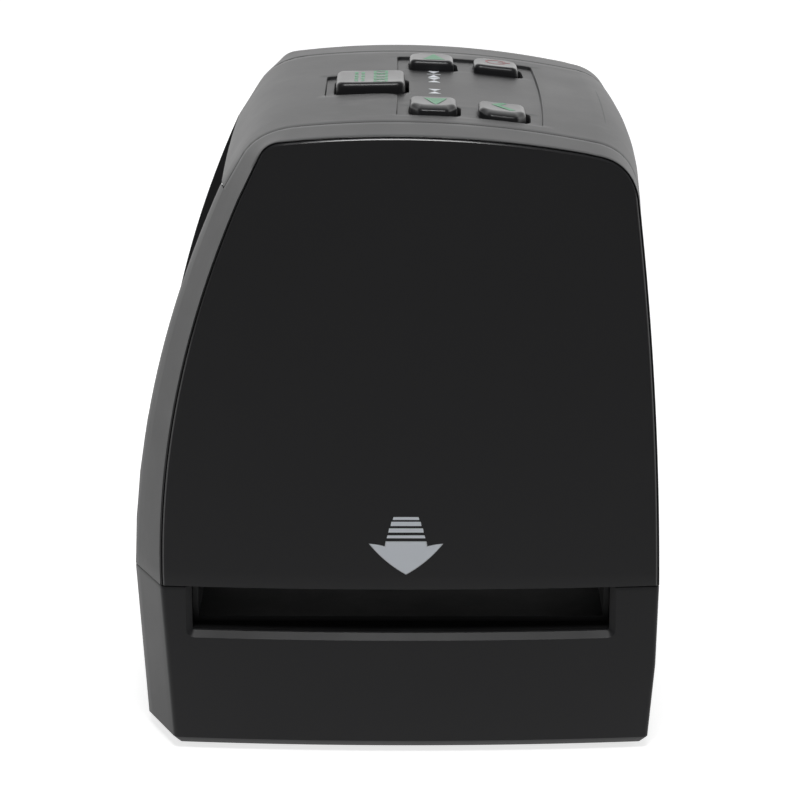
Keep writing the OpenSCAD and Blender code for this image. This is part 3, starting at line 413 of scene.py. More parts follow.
# Spark-eroded plastic: two sizes of noise added, as a height and as a slow change of shade.
def makeGrainGroup():
    g = NodeGroup("mouldedGrain",
                  [("Grain per metre", "NodeSocketFloat", 2600.0),
                   ("Patch per metre", "NodeSocketFloat", 60.0)],
                  [("Height", "NodeSocketFloat"), ("Patch", "NodeSocketFloat")])
    where = g.node("ShaderNodeTexCoord").outputs["Object"]
    fine = g.node("ShaderNodeTexNoise", {"Vector": where, "Scale": g.into.outputs[0], "Detail": 3.0,
                                        "Roughness": 0.6})
    wide = g.node("ShaderNodeMath", {0: g.into.outputs[0], 1: 0.23}, operation="MULTIPLY")
    coarse = g.node("ShaderNodeTexNoise", {"Vector": where, "Scale": wide.outputs[0], "Detail": 2.0})
    both = g.node("ShaderNodeMath", {0: coarse.outputs["Fac"], 1: 0.5, 2: fine.outputs["Fac"]},
                  operation="MULTIPLY_ADD")
    patch = g.node("ShaderNodeTexNoise", {"Vector": where, "Scale": g.into.outputs[1], "Detail": 4.0,
                                         "Roughness": 0.65})
    g.tree.links.new(both.outputs[0], g.out.inputs["Height"])
    g.tree.links.new(patch.outputs["Fac"], g.out.inputs["Patch"])
    return g.tree


# Sparse specks: the centres of a few random cells, each a different size.
def makeDustGroup():
    g = NodeGroup("dustSpecks",
                  [("Per metre", "NodeSocketFloat", 170.0), ("Size", "NodeSocketFloat", 0.035)],
                  [("Mask", "NodeSocketFloat")])
    where = g.node("ShaderNodeTexCoord").outputs["Object"]
    cells = g.node("ShaderNodeTexVoronoi", {"Vector": where, "Scale": g.into.outputs[0]})
    pick = g.node("ShaderNodeSeparateColor", {"Color": cells.outputs["Color"]})
    few = g.node("ShaderNodeMapRange", {"Value": pick.outputs[0], "From Min": 0.9, "From Max": 1.0,
                                        "To Min": 0.0, "To Max": 1.0})
    reach = g.node("ShaderNodeMath", {0: few.outputs[0], 1: g.into.outputs[1]}, operation="MULTIPLY")
    inside = g.node("ShaderNodeMath", {0: cells.outputs["Distance"], 1: reach.outputs[0]},
                    operation="LESS_THAN")
    g.tree.links.new(inside.outputs[0], g.out.inputs["Mask"])
    return g.tree


# Handling marks: a slow noise stretched along one axis, kept to its peaks.
def makeRubGroup():
    g = NodeGroup("rubMarks", [("Per metre", "NodeSocketFloat", 90.0), ("Level", "NodeSocketFloat", 0.58)],
                  [("Mask", "NodeSocketFloat")])
    where = g.node("ShaderNodeTexCoord").outputs["Object"]
    turned = g.node("ShaderNodeMapping", {"Vector": where, "Rotation": (0.5, 0.3, 0.7),
                                          "Scale": (1.0, 0.35, 1.0)})
    noise = g.node("ShaderNodeTexNoise", {"Vector": turned.outputs[0], "Scale": g.into.outputs[0],
                                          "Detail": 6.0, "Roughness": 0.7})
    top = g.node("ShaderNodeMath", {0: g.into.outputs[1], 1: 0.14}, operation="ADD")
    mask = g.node("ShaderNodeMapRange", {"Value": noise.outputs["Fac"], "From Min": g.into.outputs[1],
                                         "From Max": top.outputs[0]})
    g.tree.links.new(mask.outputs[0], g.out.inputs["Mask"])
    return g.tree


grainGroup, dustGroup, rubGroup = makeGrainGroup(), makeDustGroup(), makeRubGroup()


# A shared group placed in a material with its own values.
def placeGroup(tree, group, values):
    node = tree.nodes.new("ShaderNodeGroup")
    node.node_tree = group
    for key, value in values.items():
        node.inputs[key].default_value = value
    return node


dustColour = (0.42, 0.41, 0.39, 1)


# A finish: grain as bump, patches in colour and roughness, rub marks and dust where asked.
def finish(name, colour, paler, rough=(0.42, 0.55), grain=2600, bump=0.12, depth=0.00003, dust=None,
           metallic=0.0, specular=0.5, coat=0.0, coatRough=0.1, rub=None, patch=60):
    material = bpy.data.materials.new(name)
    material.use_nodes = True
    tree = material.node_tree
    shader = tree.nodes["Principled BSDF"]
    texture = placeGroup(tree, grainGroup, {"Grain per metre": grain, "Patch per metre": patch})
    shade = addNode(tree, "ShaderNodeMix", {"Factor": texture.outputs["Patch"], 6: (*colour, 1),
                                            7: (*paler, 1)}, data_type="RGBA")
    colourOut = shade.outputs[2]
    roughness = addNode(tree, "ShaderNodeMapRange", {"Value": texture.outputs["Patch"],
                                                     "From Min": 0.3, "From Max": 0.7,
                                                     "To Min": rough[0], "To Max": rough[1]})
    roughOut = roughness.outputs[0]
    if rub:
        marks = placeGroup(tree, rubGroup, {"Per metre": rub[0], "Level": rub[1]})
        less = addNode(tree, "ShaderNodeMath", {0: marks.outputs["Mask"], 1: -rub[2], 2: roughOut},
                       operation="MULTIPLY_ADD")
        roughOut = less.outputs[0]
    if dust:
        specks = placeGroup(tree, dustGroup, {"Per metre": dust[0], "Size": dust[1]})
        dusty = addNode(tree, "ShaderNodeMix", {"Factor": specks.outputs["Mask"], 6: colourOut,
                                                7: dustColour}, data_type="RGBA")
        colourOut = dusty.outputs[2]
    relief = addNode(tree, "ShaderNodeBump", {"Height": texture.outputs["Height"], "Strength": bump,
                                              "Distance": depth})
    tree.links.new(colourOut, shader.inputs["Base Color"])
    tree.links.new(roughOut, shader.inputs["Roughness"])
    tree.links.new(relief.outputs[0], shader.inputs["Normal"])
    shader.inputs["Metallic"].default_value = metallic
    shader.inputs["Specular IOR Level"].default_value = specular
    shader.inputs["Coat Weight"].default_value = coat
    shader.inputs["Coat Roughness"].default_value = coatRough
    return material


shellFinish = finish("shellPlastic", (0.0165, 0.0165, 0.0175), (0.0185, 0.0185, 0.0196),
                     rough=(0.45, 0.49), grain=2300, bump=0.16, dust=(150, 0.05), rub=(70, 0.6, 0.05),
                     specular=0.25)
bevelFinish = finish("bevelPlastic", (0.018, 0.018, 0.019), (0.022, 0.022, 0.0233), rough=(0.17, 0.2),
                     grain=2300, bump=0.03, specular=0.4)
keyFinish = finish("keyPlastic", (0.017, 0.017, 0.0185), (0.021, 0.021, 0.0225), rough=(0.29, 0.37),
                   grain=3400, bump=0.08, dust=(260, 0.04), rub=(220, 0.6, 0.05), specular=0.3)
# Inner parts: black plastic, darker than the shell partly as its own colour and partly as painted shade for
# the dim inside of the film slot.
innerBlackAndShade = finish("innerPlasticAndPaintedShade", (0.007, 0.007, 0.0077), (0.01, 0.01, 0.011), rough=(0.5, 0.62),
                     grain=1700, bump=0.14)
deadBlack = finish("opticBlack", (0.006, 0.006, 0.0065), (0.009, 0.009, 0.0095), rough=(0.75, 0.9),
                   grain=1500, bump=0.2)
whiteFinish = finish("whitePlastic", (0.74, 0.74, 0.72), (0.82, 0.82, 0.8), rough=(0.4, 0.52),
                     grain=1500, bump=0.1)
opalFinish = finish("opalSheet", (0.8, 0.8, 0.78), (0.88, 0.88, 0.86), rough=(0.5, 0.6), grain=2600,
                    bump=0.08)
chipFinish = finish("chipEpoxy", (0.02, 0.02, 0.021), (0.03, 0.03, 0.031), rough=(0.4, 0.55), grain=5200,
                    bump=0.2)
metalFinish = finish("platedSteel", (0.52, 0.53, 0.54), (0.62, 0.63, 0.64), rough=(0.22, 0.36),
                     grain=900, bump=0.05, metallic=1.0, rub=(300, 0.55, 0.08))
rubberFinish = finish("footRubber", (0.03, 0.03, 0.03), (0.04, 0.04, 0.04), rough=(0.7, 0.85),
                      grain=1500, bump=0.25, dust=(300, 0.09))
ribbonFinish = finish("amberFilm", (0.55, 0.27, 0.06), (0.66, 0.35, 0.09), rough=(0.2, 0.3), grain=800,
                      bump=0.03, coat=0.3)
ledFinish = finish("phosphor", (0.85, 0.72, 0.25), (0.9, 0.8, 0.35), rough=(0.3, 0.4), grain=3000,
                   bump=0.06)
displayFinish = finish("displayPanel", (0.012, 0.013, 0.017), (0.016, 0.018, 0.024), rough=(0.16, 0.22),
                       grain=4000, bump=0.02, coat=0.6)
printPale = finish("printPale", (0.78, 0.82, 0.88), (0.84, 0.88, 0.93), rough=(0.5, 0.6), grain=3200,
                   bump=0.1)
printWhite = finish("printWhite", (0.62, 0.65, 0.69), (0.72, 0.74, 0.78), rough=(0.5, 0.6), grain=3200,
                    bump=0.1)
printGreen = finish("printGreen", (0.03, 0.2, 0.085), (0.045, 0.26, 0.12), rough=(0.45, 0.55),
                    grain=3200, bump=0.08)
printRed = finish("printRed", (0.2, 0.02, 0.02), (0.26, 0.03, 0.03), rough=(0.45, 0.55), grain=3200,
                  bump=0.08)


board = {"cells": 420.0,                         # per metre
         "line": 0.07,                           # a line's share of its cell
         "copper": (0.05, 0.22, 0.08, 1)}


# Green solder mask with copper runs showing through: lines along the borders of a cell pattern.
def makeBoardFinish():
    material = finish("circuitBoard", (0.018, 0.11, 0.045), (0.025, 0.14, 0.06), rough=(0.28, 0.38),
                      grain=3000, bump=0.04, coat=0.25)
    tree = material.node_tree
    shader = tree.nodes["Principled BSDF"]
    where = addNode(tree, "ShaderNodeTexCoord").outputs["Object"]
    cells = addNode(tree, "ShaderNodeTexVoronoi", {"Vector": where, "Scale": board["cells"]},
                    feature="DISTANCE_TO_EDGE", distance="EUCLIDEAN")
    line = addNode(tree, "ShaderNodeMath", {0: cells.outputs["Distance"], 1: board["line"]},
                   operation="LESS_THAN")
    plain = shader.inputs["Base Color"].links[0].from_socket
    runs = addNode(tree, "ShaderNodeMix", {"Factor": line.outputs[0], 6: plain, 7: board["copper"]},
                   data_type="RGBA")
    tree.links.new(runs.outputs[2], shader.inputs["Base Color"])
    return material


boardFinish = makeBoardFinish()


# Smoked acrylic and coated lens glass: clear plastics with a faint change of roughness.
def makeGlass(name, colour, rough, ior):
    material = finish(name, colour, tuple(c * 1.05 for c in colour), rough=rough, grain=700, bump=0.01)
    shader = material.node_tree.nodes["Principled BSDF"]
    shader.inputs["Transmission Weight"].default_value = 1.0
    shader.inputs["IOR"].default_value = ior
    return material


windowGlass = makeGlass("smokedAcrylic", (0.16, 0.16, 0.19), (0.02, 0.05), 1.49)
lensGlass = makeGlass("lensGlass", (0.8, 0.86, 0.9), (0.01, 0.03), 1.6)
print("finishes made")

# Side covers: rim, rounded lip, fine groove, bevel and barrelled face as one skin.
sideCover = {"rimColumns": 8, "frontRows": 26, "noseRows": 12, "topColumns": 60, "tailRows": 10,
             "noseEnd": 1.55, "tailStart": 3.5,      # where the face's corners lie along the cross-section
             # how far the bevel's faces turn outwards, and how near to the side they lie
             "bevelFacing": (0.45, 0.9), "bevelReach": 2.5}
# From rim to side face: how far each point lies behind the face, and inside the rim's surface.
edgeLine = np.array([(0.38, 0), (0.31, 0.015), (0.27, 0.06), (0.27, 0.11), (0.5, 0.13), (0.58, 0.19),
                     (0.5, 0.25), (0.3, 0.27), (0.26, 0.29), (0.05, 0.53), (0.015, 0.58), (0, 0.66)])
plainLine = np.linspace((0.3, 0), (0, 0.3), len(edgeLine))


# An edge along a seam falls away within about a tenth of a millimetre, over these distances from it.
seamSteps = np.array([0, 0.04, 0.12])
seamFall = [form["seamRound"], 0.03, 0]


def seamDrop(distance):
    return np.interp(distance, seamSteps, seamFall)


# The rim runs out from xStart to the side face, then follows the edge line onto it. The skins that
# face outwards have rounded seams.
def rimGrid(s, xStart, depth, line, seams, rowDrop):
    xEdge = np.full_like(s, form["halfWidth"])
    for _ in range(settleSteps):
        xEdge = faceX(skin(s, xEdge, depth)[0]) - depth
    u = np.linspace(0, 1, sideCover["rimColumns"])
    run = (xEdge - line[0, 0] - xStart - seamSteps[2])[:, None]
    x = xStart + np.concatenate([np.broadcast_to(seamSteps[:2], (len(s), 2)), seamSteps[2] + run * u], 1)
    drop = np.maximum(seams * seamDrop(x - xStart), rowDrop[:, None])
    y, z = skin(s[:, None], x, depth + drop)
    flat = np.stack([x, y, z], -1)
    y, z = skin(s[:, None], xEdge[:, None] + 0 * line[:, 0], depth + line[:, 1])
    edge = np.stack([faceX(y) - depth - line[:, 0] - rowDrop[:, None], y, z], -1)
    return np.concatenate([flat, edge[:, 1:]], 1)


# A four-sided patch filled between its edges (a Coons patch), then laid on the barrelled face.
def faceGrid(left, top, right, depth, rowDrop):
    run = np.r_[0, np.cumsum(np.linalg.norm(np.diff(top, axis=0), axis=1))]
    u = (run / run[-1])[None, :, None]
    run = np.r_[0, np.cumsum(np.linalg.norm(np.diff(left, axis=0), axis=1))]
    v = (run / run[-1])[:, None, None]
    bottom = left[0] + (right[0] - left[0]) * u[0]
    grid = ((1 - v) * bottom[None] + v * top[None] + (1 - u) * left[:, None] + u * right[:, None]
            - (1 - u) * (1 - v) * left[0] - u * (1 - v) * right[0]
            - (1 - u) * v * left[-1] - u * v * right[-1])
    grid[..., 0] = faceX(grid[..., 1]) - depth - rowDrop[:, None]
    grid[:, 0], grid[:, -1], grid[-1] = left, right, top
    return grid


# Rows and columns of rim, front strip and side face, for the outer and the inner skin, joined to a shell.
def makeSideCover():
    rise = form["shoulderZ"] - form["splitZ"]
    low = form["gap"] / rise
    first = low + seamSteps / rise
    front = np.r_[first[:2], np.linspace(first[2], 1 - first[2], sideCover["frontRows"]), 1 - first[1::-1]]
    noseEnd, tailStart, tailRows = sideCover["noseEnd"], sideCover["tailStart"], sideCover["tailRows"]
    left = np.r_[front, np.linspace(1, noseEnd, sideCover["noseRows"])]
    top = np.linspace(noseEnd, tailStart, sideCover["topColumns"])
    backRows = len(left) - tailRows - 1
    right = np.r_[np.linspace(tailStart, 4, tailRows)[:-1], np.linspace(4, 5 - first[2], backRows),
                  5 - first[1::-1]]
    s = np.r_[left, top[1:-1], right]
    fromBottom = np.minimum(s - low, 5 - low - s) * rise
    skins = []
    for depth, line, seams in ((0, edgeLine, 1), (form["wall"], plainLine, 0)):
        rowDrop = seams * seamDrop(fromBottom)
        rim = rimGrid(s, form["bandHalf"] + form["gap"], depth, line, seams, rowDrop)
        x = form["rimHalf"] + form["gap"] + np.r_[seamSteps, 1.5, form["stripWide"]]
        fromEdge = np.minimum((front - low) * rise, (1 - low - front) * rise)[:, None]
        drop = seams * seamDrop(np.minimum(fromEdge, x - x[0]))
        y, z = skin(front[:, None], x, depth + drop)
        strip = np.stack([np.broadcast_to(x, y.shape), y, z], -1)
        rim[:len(front), :3], strip[:, -1] = flattenSeam(front, rim, depth, rowDrop)
        edge = rim[:, -1]
        a, b = len(left), len(left) + len(top) - 2
        face = faceGrid(edge[:a], edge[a - 1:b + 1], edge[b:][::-1], depth, rowDrop[:a])
        skins.append([rim, strip, face])
    outer, inner, faces = joinGrids(*skins)
    return closeShell(outer, inner, faces)


# Beside the strip the rim has no seam, so its first columns keep the plain surface.
def flattenSeam(front, rim, depth, rowDrop):
    y, z = skin(front[:, None], rim[:len(front), :3, 0], depth + rowDrop[:len(front), None])
    plain = np.stack([rim[:len(front), :3, 0], y, z], -1)
    return plain, plain[:, 0]


# The x of every face's normal or centre, without its sign.
def faceAbsX(mesh, what):
    values = np.empty(len(mesh.polygons) * 3, np.float32)
    mesh.polygons.foreach_get(what, values)
    return np.abs(values.reshape(-1, 3)[:, 0])


# The narrow bevel round the side face is smoother than the grained skin beside it.
def polishBevel(cover):
    mesh = cover.data
    mesh.materials.append(bevelFinish)
    facing = faceAbsX(mesh, "normal")
    outer = faceAbsX(mesh, "center") > (form["halfWidth"] - sideCover["bevelReach"]) * mm
    least, most = sideCover["bevelFacing"]
    bevel = outer & (facing > least) & (facing < most)
    slots = np.zeros(len(mesh.polygons), np.int32)
    mesh.polygons.foreach_get("material_index", slots)
    slots[bevel] = len(mesh.materials) - 1
    mesh.polygons.foreach_set("material_index", slots)


points, faces = makeSideCover()
for name, side in (("rightSideCover", 1), ("leftSideCover", -1)):
    cover = addPiece(name, points * [side, 1, 1], faces)
    node = "right_side_cover" if side > 0 else "left_side_cover"
    place(cover, shellFinish, stands=[node])
    polishBevel(cover)
print("side covers made")

# Top cover, with its sunk key panel and five openings.
topCover = {"noseRun": 12.4, "tailRun": 9.7,     # lengths of nose and tail when the top is laid flat
            "seamShare": 0.0085,                 # part of the nose that the seam below it takes
            "columns": 31, "noseRows": 11, "topRows": 22, "tailRows": 11,
            "rowStart": (2, 0.8)}                # where the rows of top and tail begin past crown and tail
panel = {"half": 27.2, "near": -1.7, "far": 21.7, "tabHalf": 8.9, "tabNear": -13.5,
         "corner": 0.8, "fillet": 2.2, "depth": 0.5,
         # distance from the outline, and how deep the panel's wall is there
         "wall": [(-0.2, 0.5), (-0.09, 0.47), (-0.04, 0.38), (0.01, 0.12), (0.06, 0.03), (0.16, 0)],
         # distance from a key's opening, and how far its lip has fallen there
         "openingLip": [(0, 0.16), (0.07, 0.04), (0.18, 0)]}
# Keys: a lip and stem below, a drafted wall, a rounded shoulder and a faintly dished top.
keys = {
    "scan_button": {"at": (0.0, -6.0), "size": (13.0, 12.2), "body": "scan_key", "rise": 2.0, "tip": 0.8},
    "left_arrow_button": {"at": (-21.4, 4.4), "size": (10.0, 8.3), "body": "left_arrow_key", "rise": 1.8},
    "right_arrow_button": {"at": (21.4, 4.4), "size": (10.0, 8.3), "body": "right_arrow_key", "rise": 1.8},
    "power_button": {"at": (-21.4, 15.6), "size": (10.0, 8.3), "body": "power_key", "rise": 1.65},
    "ok_button": {"at": (21.4, 15.6), "size": (10.0, 8.3), "body": "ok_key", "rise": 1.65},
}
keyForm = {"gap": 0.2, "corner": 1.7,            # the wide key's corners
           # a small key's outline
           "cut": (3.0, 1.7), "innerRadius": 1.5, "cutRadius": 2.5, "outerRadius": 1.2,
           "shoulder": 0.95, "draft": 0.12, "dish": 0.14, "slope": 1.5, "slopeDrop": 0.35,
           # the outer slope's share is the first times x, less the second
           "slopeReach": (1.6, 0.5),
           "lip": 0.8, "lipThick": 0.9, "lipClear": 0.25, "stemRadius": 1.5, "stemBottom": 98.1,
           "around": 120, "rows": 9}


# The top laid flat: w is y over the arched top and goes on as length down the nose and the tail.
def topSkin(x, w, depth):
    crown, tail = profile["crownY"], profile["tailStart"][0]
    tailEnd = tail + topCover["tailRun"]
    back = form["shoulderZ"] - form["splitZ"]
    s = np.interp(w, [crown - topCover["noseRun"], crown, tail, tailEnd, tailEnd + back], [1, 2, 3, 4, 5])
    y, z = skin(s, x, depth)
    return np.stack([x, y, z], -1)


# Outline of the sunk panel: a wide field with a tab towards the front.
def panelLoop(grow):
    p = panel
    corners = [(-p["tabHalf"], p["tabNear"]), (p["tabHalf"], p["tabNear"]), (p["tabHalf"], p["near"]),
               (p["half"], p["near"]), (p["half"], p["far"]), (-p["half"], p["far"]),
               (-p["half"], p["near"]), (-p["tabHalf"], p["near"])]
    c, f = p["corner"], p["fillet"]
    return roundedLoop(corners, [c, c, f, c, c, c, c, f], grow, step=1.2)


# A key seen from above: small keys narrow towards their outer end. Grow moves the outline outwards.
def keyLoop(key, grow, step=1.0):
    (cx, cy), (w, h) = key["at"], key["size"]
    if cx == 0:
        return roundedLoop(rectangle(cx, cy, w, h), [keyForm["corner"]] * 4, grow, step)
    out = math.copysign(1, cx)
    long, wide = keyForm["cut"]
    corners = [(-w / 2, h / 2), (-w / 2, -h / 2), (w / 2 - long, -h / 2), (w / 2, -h / 2 + wide),
               (w / 2, h / 2 - wide), (w / 2 - long, h / 2)]
    corners = np.array(corners) * [out, 1] + [cx, cy]
    inner, cut, outer = keyForm["innerRadius"], keyForm["cutRadius"], keyForm["outerRadius"]
    radii = [inner, inner, cut, outer, outer, cut]
    if out < 0:
        corners, radii = corners[::-1], radii[::-1]
    return roundedLoop(corners, radii, grow, step)


# The top laid flat is tiled round its openings, then lifted onto the arched skin; depth says how far each
# point lies below that skin, by its distance from the panel's outline, the rim and the openings.
def makeTopCover():
    crown, tail = profile["crownY"], profile["tailStart"][0]
    w0 = crown - topCover["noseRun"] * (1 - topCover["seamShare"])
    w1 = tail + topCover["tailRun"] + form["shoulderZ"] - form["rearTopZ"] - form["gap"]
    half = form["bandHalf"] - form["gap"]
    outline = rectangle(0, (w0 + w1) / 2, 2 * half, w1 - w0)
    border, *inner = [roundedLoop(outline, [0.02] * 4, -g, step=1.5, arcSteps=1) for g in seamSteps]
    wall = [panelLoop(g) for g, _ in panel["wall"][::-1]]
    openings = [keyLoop(k, 0) for k in keys.values()]
    lips = [keyLoop(k, g) for k in keys.values() for g, _ in panel["openingLip"][1:]]
    xs = np.linspace(-half, half, topCover["columns"])
    ws = np.r_[np.linspace(w0, crown, topCover["noseRows"]),
               np.linspace(crown + topCover["rowStart"][0], tail, topCover["topRows"]),
               np.linspace(tail + topCover["rowStart"][1], w1, topCover["tailRows"])]
    lattice = np.stack(np.meshgrid(xs, ws), -1).reshape(-1, 2)
    flat, faces = tileRegion(border, inner + wall + lips, openings, lattice)
    depth = np.interp(loopDistance(flat, panelLoop(0)), *zip(*panel["wall"]))
    holes = np.min([loopDistance(flat, o) for o in openings], 0)
    depth = depth + seamDrop(-loopDistance(flat, border)) + np.interp(holes, *zip(*panel["openingLip"]))
    outer = topSkin(flat[:, 0], flat[:, 1], depth)
    inner = topSkin(flat[:, 0], flat[:, 1], np.full(len(flat), form["wall"]))
    return closeShell(outer, inner, faces)


place(addPiece("topCover", *makeTopCover()), shellFinish, stands=["top_cover"])
print("top cover made")


# Slope of a key's top in degrees: its own, or that of the arch below it.
def keyTilt(key):
    y, reach = key["at"][1], 4
    return key.get("tip", -math.degrees(math.atan((topZ(y - reach) - topZ(y + reach)) / (2 * reach))))


# Height of a key's top: its tilt, less a shallow dish that deepens towards the middle.
def keyTop(key, x, y):
    cx, cy = key["at"]
    level = topZ(cy) - panel["depth"] + key["rise"]
    reach = np.clip(1 - ((x - cx) / (key["size"][0] / 2)) ** 2, 0, 1) * np.clip(
        1 - ((y - cy) / (key["size"][1] / 2)) ** 2, 0, 1)
    return level + (y - cy) * math.tan(math.radians(keyTilt(key))) - keyForm["dish"] * reach


# Rows of loops from stem to top. At a small key's outer end the shoulder is a longer slope, so its
# loops lie further in there, by a share that rises smoothly towards that end.
def makeKey(key):
    cx, cy = key["at"]
    w, h = key["size"]
    n, lip = keyForm["around"], keyForm["lip"]
    low = min(topZ(cy - h / 2 - lip), topZ(cy + h / 2 + lip))
    lipTop = low - form["wall"] - keyForm["lipClear"]
    lipBottom = lipTop - keyForm["lipThick"]
    angle = np.linspace(0, 2 * np.pi, n + 1)[:-1]
    stem = np.array([cx, cy]) + keyForm["stemRadius"] * np.stack([np.cos(angle), np.sin(angle)], 1)

    def loop(grow):
        return evenLoop(keyLoop(key, grow, 0.4), n)

    rows = [(stem, keyForm["stemBottom"]), (stem, lipBottom), (loop(lip), lipBottom), (loop(lip), lipTop),
            (loop(-keyForm["gap"]), lipTop)]
    out = [np.column_stack([p, np.full(n, z)]) for p, z in rows]
    r = keyForm["shoulder"]
    side = np.sign(cx)
    gain, less = keyForm["slopeReach"]
    for a in np.linspace(0, math.pi / 2, keyForm["rows"]):       # shoulder rows, from the wall to the top
        p = loop(-keyForm["gap"] - keyForm["draft"] - r * (1 - math.cos(a)))
        end = np.clip(side * (p[:, 0] - cx) / (w / 2) * gain - less, 0, 1)
        end = end * end * (3 - 2 * end) * (1 - math.cos(a))
        p[:, 0] -= side * keyForm["slope"] * end
        top = keyTop(key, p[:, 0], p[:, 1]) - keyForm["slopeDrop"] * end * (1 - math.sin(a)) * 2
        out.append(np.column_stack([p, top - r * (1 - math.sin(a))]))
    middle = out[-1][:, :2]
    for share in np.linspace(0.9, 0.04, keyForm["rows"]):
        p = np.array([cx, cy]) + (middle - [cx, cy]) * share
        out.append(np.column_stack([p, keyTop(key, p[:, 0], p[:, 1])]))
    return ringSolid(out)


# A button's name with another ending, such as left_arrow_button as leftArrowKey.
def pieceName(button, ending):
    return button.replace("_button", ending).replace("_a", "A")


for name, key in keys.items():
    piece = addPiece(pieceName(name, "Key"), *makeKey(key))
    place(piece, keyFinish, key["body"], [name])
print("keys made")


# Base: plan loops stacked in height, with the film slot, foot pockets and screw holes cut.
base = {
    "frontIn": 1.7, "frontRise": 26.25,          # the front leans in by this much over this height
    "backLine": ((1.95, 14.4, 28.2), (40.3, 41.35, 41.7)),        # heights, and how far back it is there
    # the front's wall, measured along y, gets thicker by this factor from this x to the front cover's seam
    "slant": 1.09, "slantFrom": 25,
    "leastRound": 0.2, "flatSteps": 9, "turnSteps": 7, "sideSteps": 26,
    "bottom": 0.65,
    # height, and how far inside the plan: up the outside, then down the inside from the seam
    "walls": [(0.65, 1.42), (0.69, 1.28), (1.86, 0.09), (1.97, 0.0), (4, 0), (8, 0), (12, 0), (14.4, 0),
              (18, 0), (22, 0), (25, 0), (27.4, 0), (27.9, 0.005), (28.0, 0.04)],
    "inside": [(20, 1.8), (10, 1.8), (4.2, 1.9), (2.45, 3.2)],
    "seam": [(-0.02, 0.1), (0, 0.18)],           # heights from the seam
    "slotNear": -35.0, "slotFar": 33.3, "slotBottom": 20.5, "slotTop": 34.0, "slotBevel": 1.0,
    "slotCorner": 0.35, "slotDeep": 36.0, "slotOut": 44.5, "slotPast": 0.5,
    "footDepth": 0.8, "footRadius": 4.5, "screwRadius": 2.05, "screwSeat": 3.85,
    "feet": [(29, -30), (-29, -30), (29, 29), (-29, 29)],
    "screws": [(32.8, -37.6), (-32.8, -37.6), (36, 36.9), (-36, 36.9), (20, -38.8), (-20, -38.8),
               (20, 36.9), (-20, 36.9)],
}


# Half of the plan at height z: front, rim, rounded edge, side face, rounded edge, back; then mirrored.
def planLoop(z, depth):
    front = form["frontY"] + base["frontIn"] * (form["splitZ"] - z) / base["frontRise"]
    back = np.interp(z, *base["backLine"])
    flat = np.linspace(0, form["rimHalf"], base["flatSteps"])
    xEdge = backX = form["halfWidth"]
    for _ in range(settleSteps):
        yEdge = front + drawIn(xEdge)[0] + depth * base["slant"]
        xEdge = faceX(yEdge) - depth
    for _ in range(settleSteps):
        yBack = back - drawIn(backX)[2] - depth
        backX = faceX(yBack) - depth
    r0, r1 = (max(r - depth, base["leastRound"]) for r in (form["frontRound"], form["backRound"]))
    rim = np.linspace(form["rimHalf"], xEdge - r0, base["turnSteps"])[1:]
    x = np.r_[flat, rim]
    y = front + drawIn(x)[0] + depth * np.interp(x, [base["slantFrom"], form["rimHalf"]], [1, base["slant"]])
    q = np.linspace(0, 1, base["turnSteps"])[1:, None]
    a, e, c = np.array([x[-1], y[-1]]), np.array([xEdge, yEdge]), np.array([0, yEdge + r0])
    c[0] = faceX(c[1]) - depth
    turnA = bend(a, e, c, q)
    d = np.array([0, yBack - r1])
    d[0] = faceX(d[1]) - depth
    g = np.array([backX - r1, back - drawIn(backX - r1)[2] - depth])
    side = np.linspace(c[1], d[1], base["sideSteps"])[1:]
    side = np.stack([faceX(side) - depth, side], 1)
    turnB = bend(d, np.array([backX, yBack]), g, q)
    rear = np.linspace(g[0], 0, base["flatSteps"])[1:]
    rear = np.stack([rear, back - drawIn(rear)[2] - depth], 1)
    half = np.vstack([np.stack([x, y], 1), turnA, side, turnB, rear])
    loop = np.vstack([half, half[-2:0:-1] * [-1, 1]])
    return np.column_stack([loop, np.full(len(loop), z)])


# Two rings of a cylinder, at its two heights.
def cylinder(cx, cy, radius, z0, z1, around=48):
    a = np.linspace(0, 2 * np.pi, around + 1)[:-1]
    ring = np.stack([cx + radius * np.cos(a), cy + radius * np.sin(a)], 1)
    return [np.column_stack([ring, np.full(around, z)]) for z in (z0, z1)]


# Several closed forms as one list of points and faces.
def joinSolids(solids):
    points, faces, start = [], [], 0
    for p, f in solids:
        points.append(p)
        faces += [[start + i for i in face] for face in f]
        start += len(p)
    return np.vstack(points), faces


# Each wall row is a height and how far it lies inside the plan there, up the outside and down the inside.
def makeBase():
    top = form["splitZ"] - form["gap"]
    seam = [(top + z, d) for z, d in base["seam"]] + [(top, form["wall"])]
    return ringSolid([planLoop(z, d) for z, d in base["walls"] + seam + base["inside"]])


# The slot cutter follows the barrelled face, widens outwards in a bevel and is open above the split.
def slotCutter(side):
    b, rows = base, []
    corners = [(b["slotNear"], b["slotBottom"]), (b["slotFar"], b["slotBottom"]),
               (b["slotFar"], b["slotTop"]), (b["slotNear"], b["slotTop"])]
    wide = b["slotBevel"] + b["slotPast"]
    for offset, grow in ((None, 0.0), (-b["slotBevel"], 0.0), (b["slotPast"], wide), (None, wide)):
        loop = roundedLoop(corners, [b["slotCorner"]] * 4, grow, step=4, arcSteps=4)
        flatEnd = np.full(len(loop), b["slotOut"] if grow else b["slotDeep"])
        x = flatEnd if offset is None else faceX(loop[:, 0]) + offset
        rows.append(np.column_stack([x * side, loop]))
    return ringSolid(rows)


body = addPiece("bottomCase", *makeBase())
cutters = [slotCutter(1), slotCutter(-1)]
for spots, radius, top in ((base["feet"], base["footRadius"], base["bottom"] + base["footDepth"]),
                           (base["screws"], base["screwRadius"], base["screwSeat"])):
    cutters.append(joinSolids([ringSolid(cylinder(x, y, radius, 0, top)) for x, y in spots]))
carve(body, [addPiece("cutter", *cutter) for cutter in cutters])
place(body, shellFinish, stands=["bottom_case"])
print("base made")


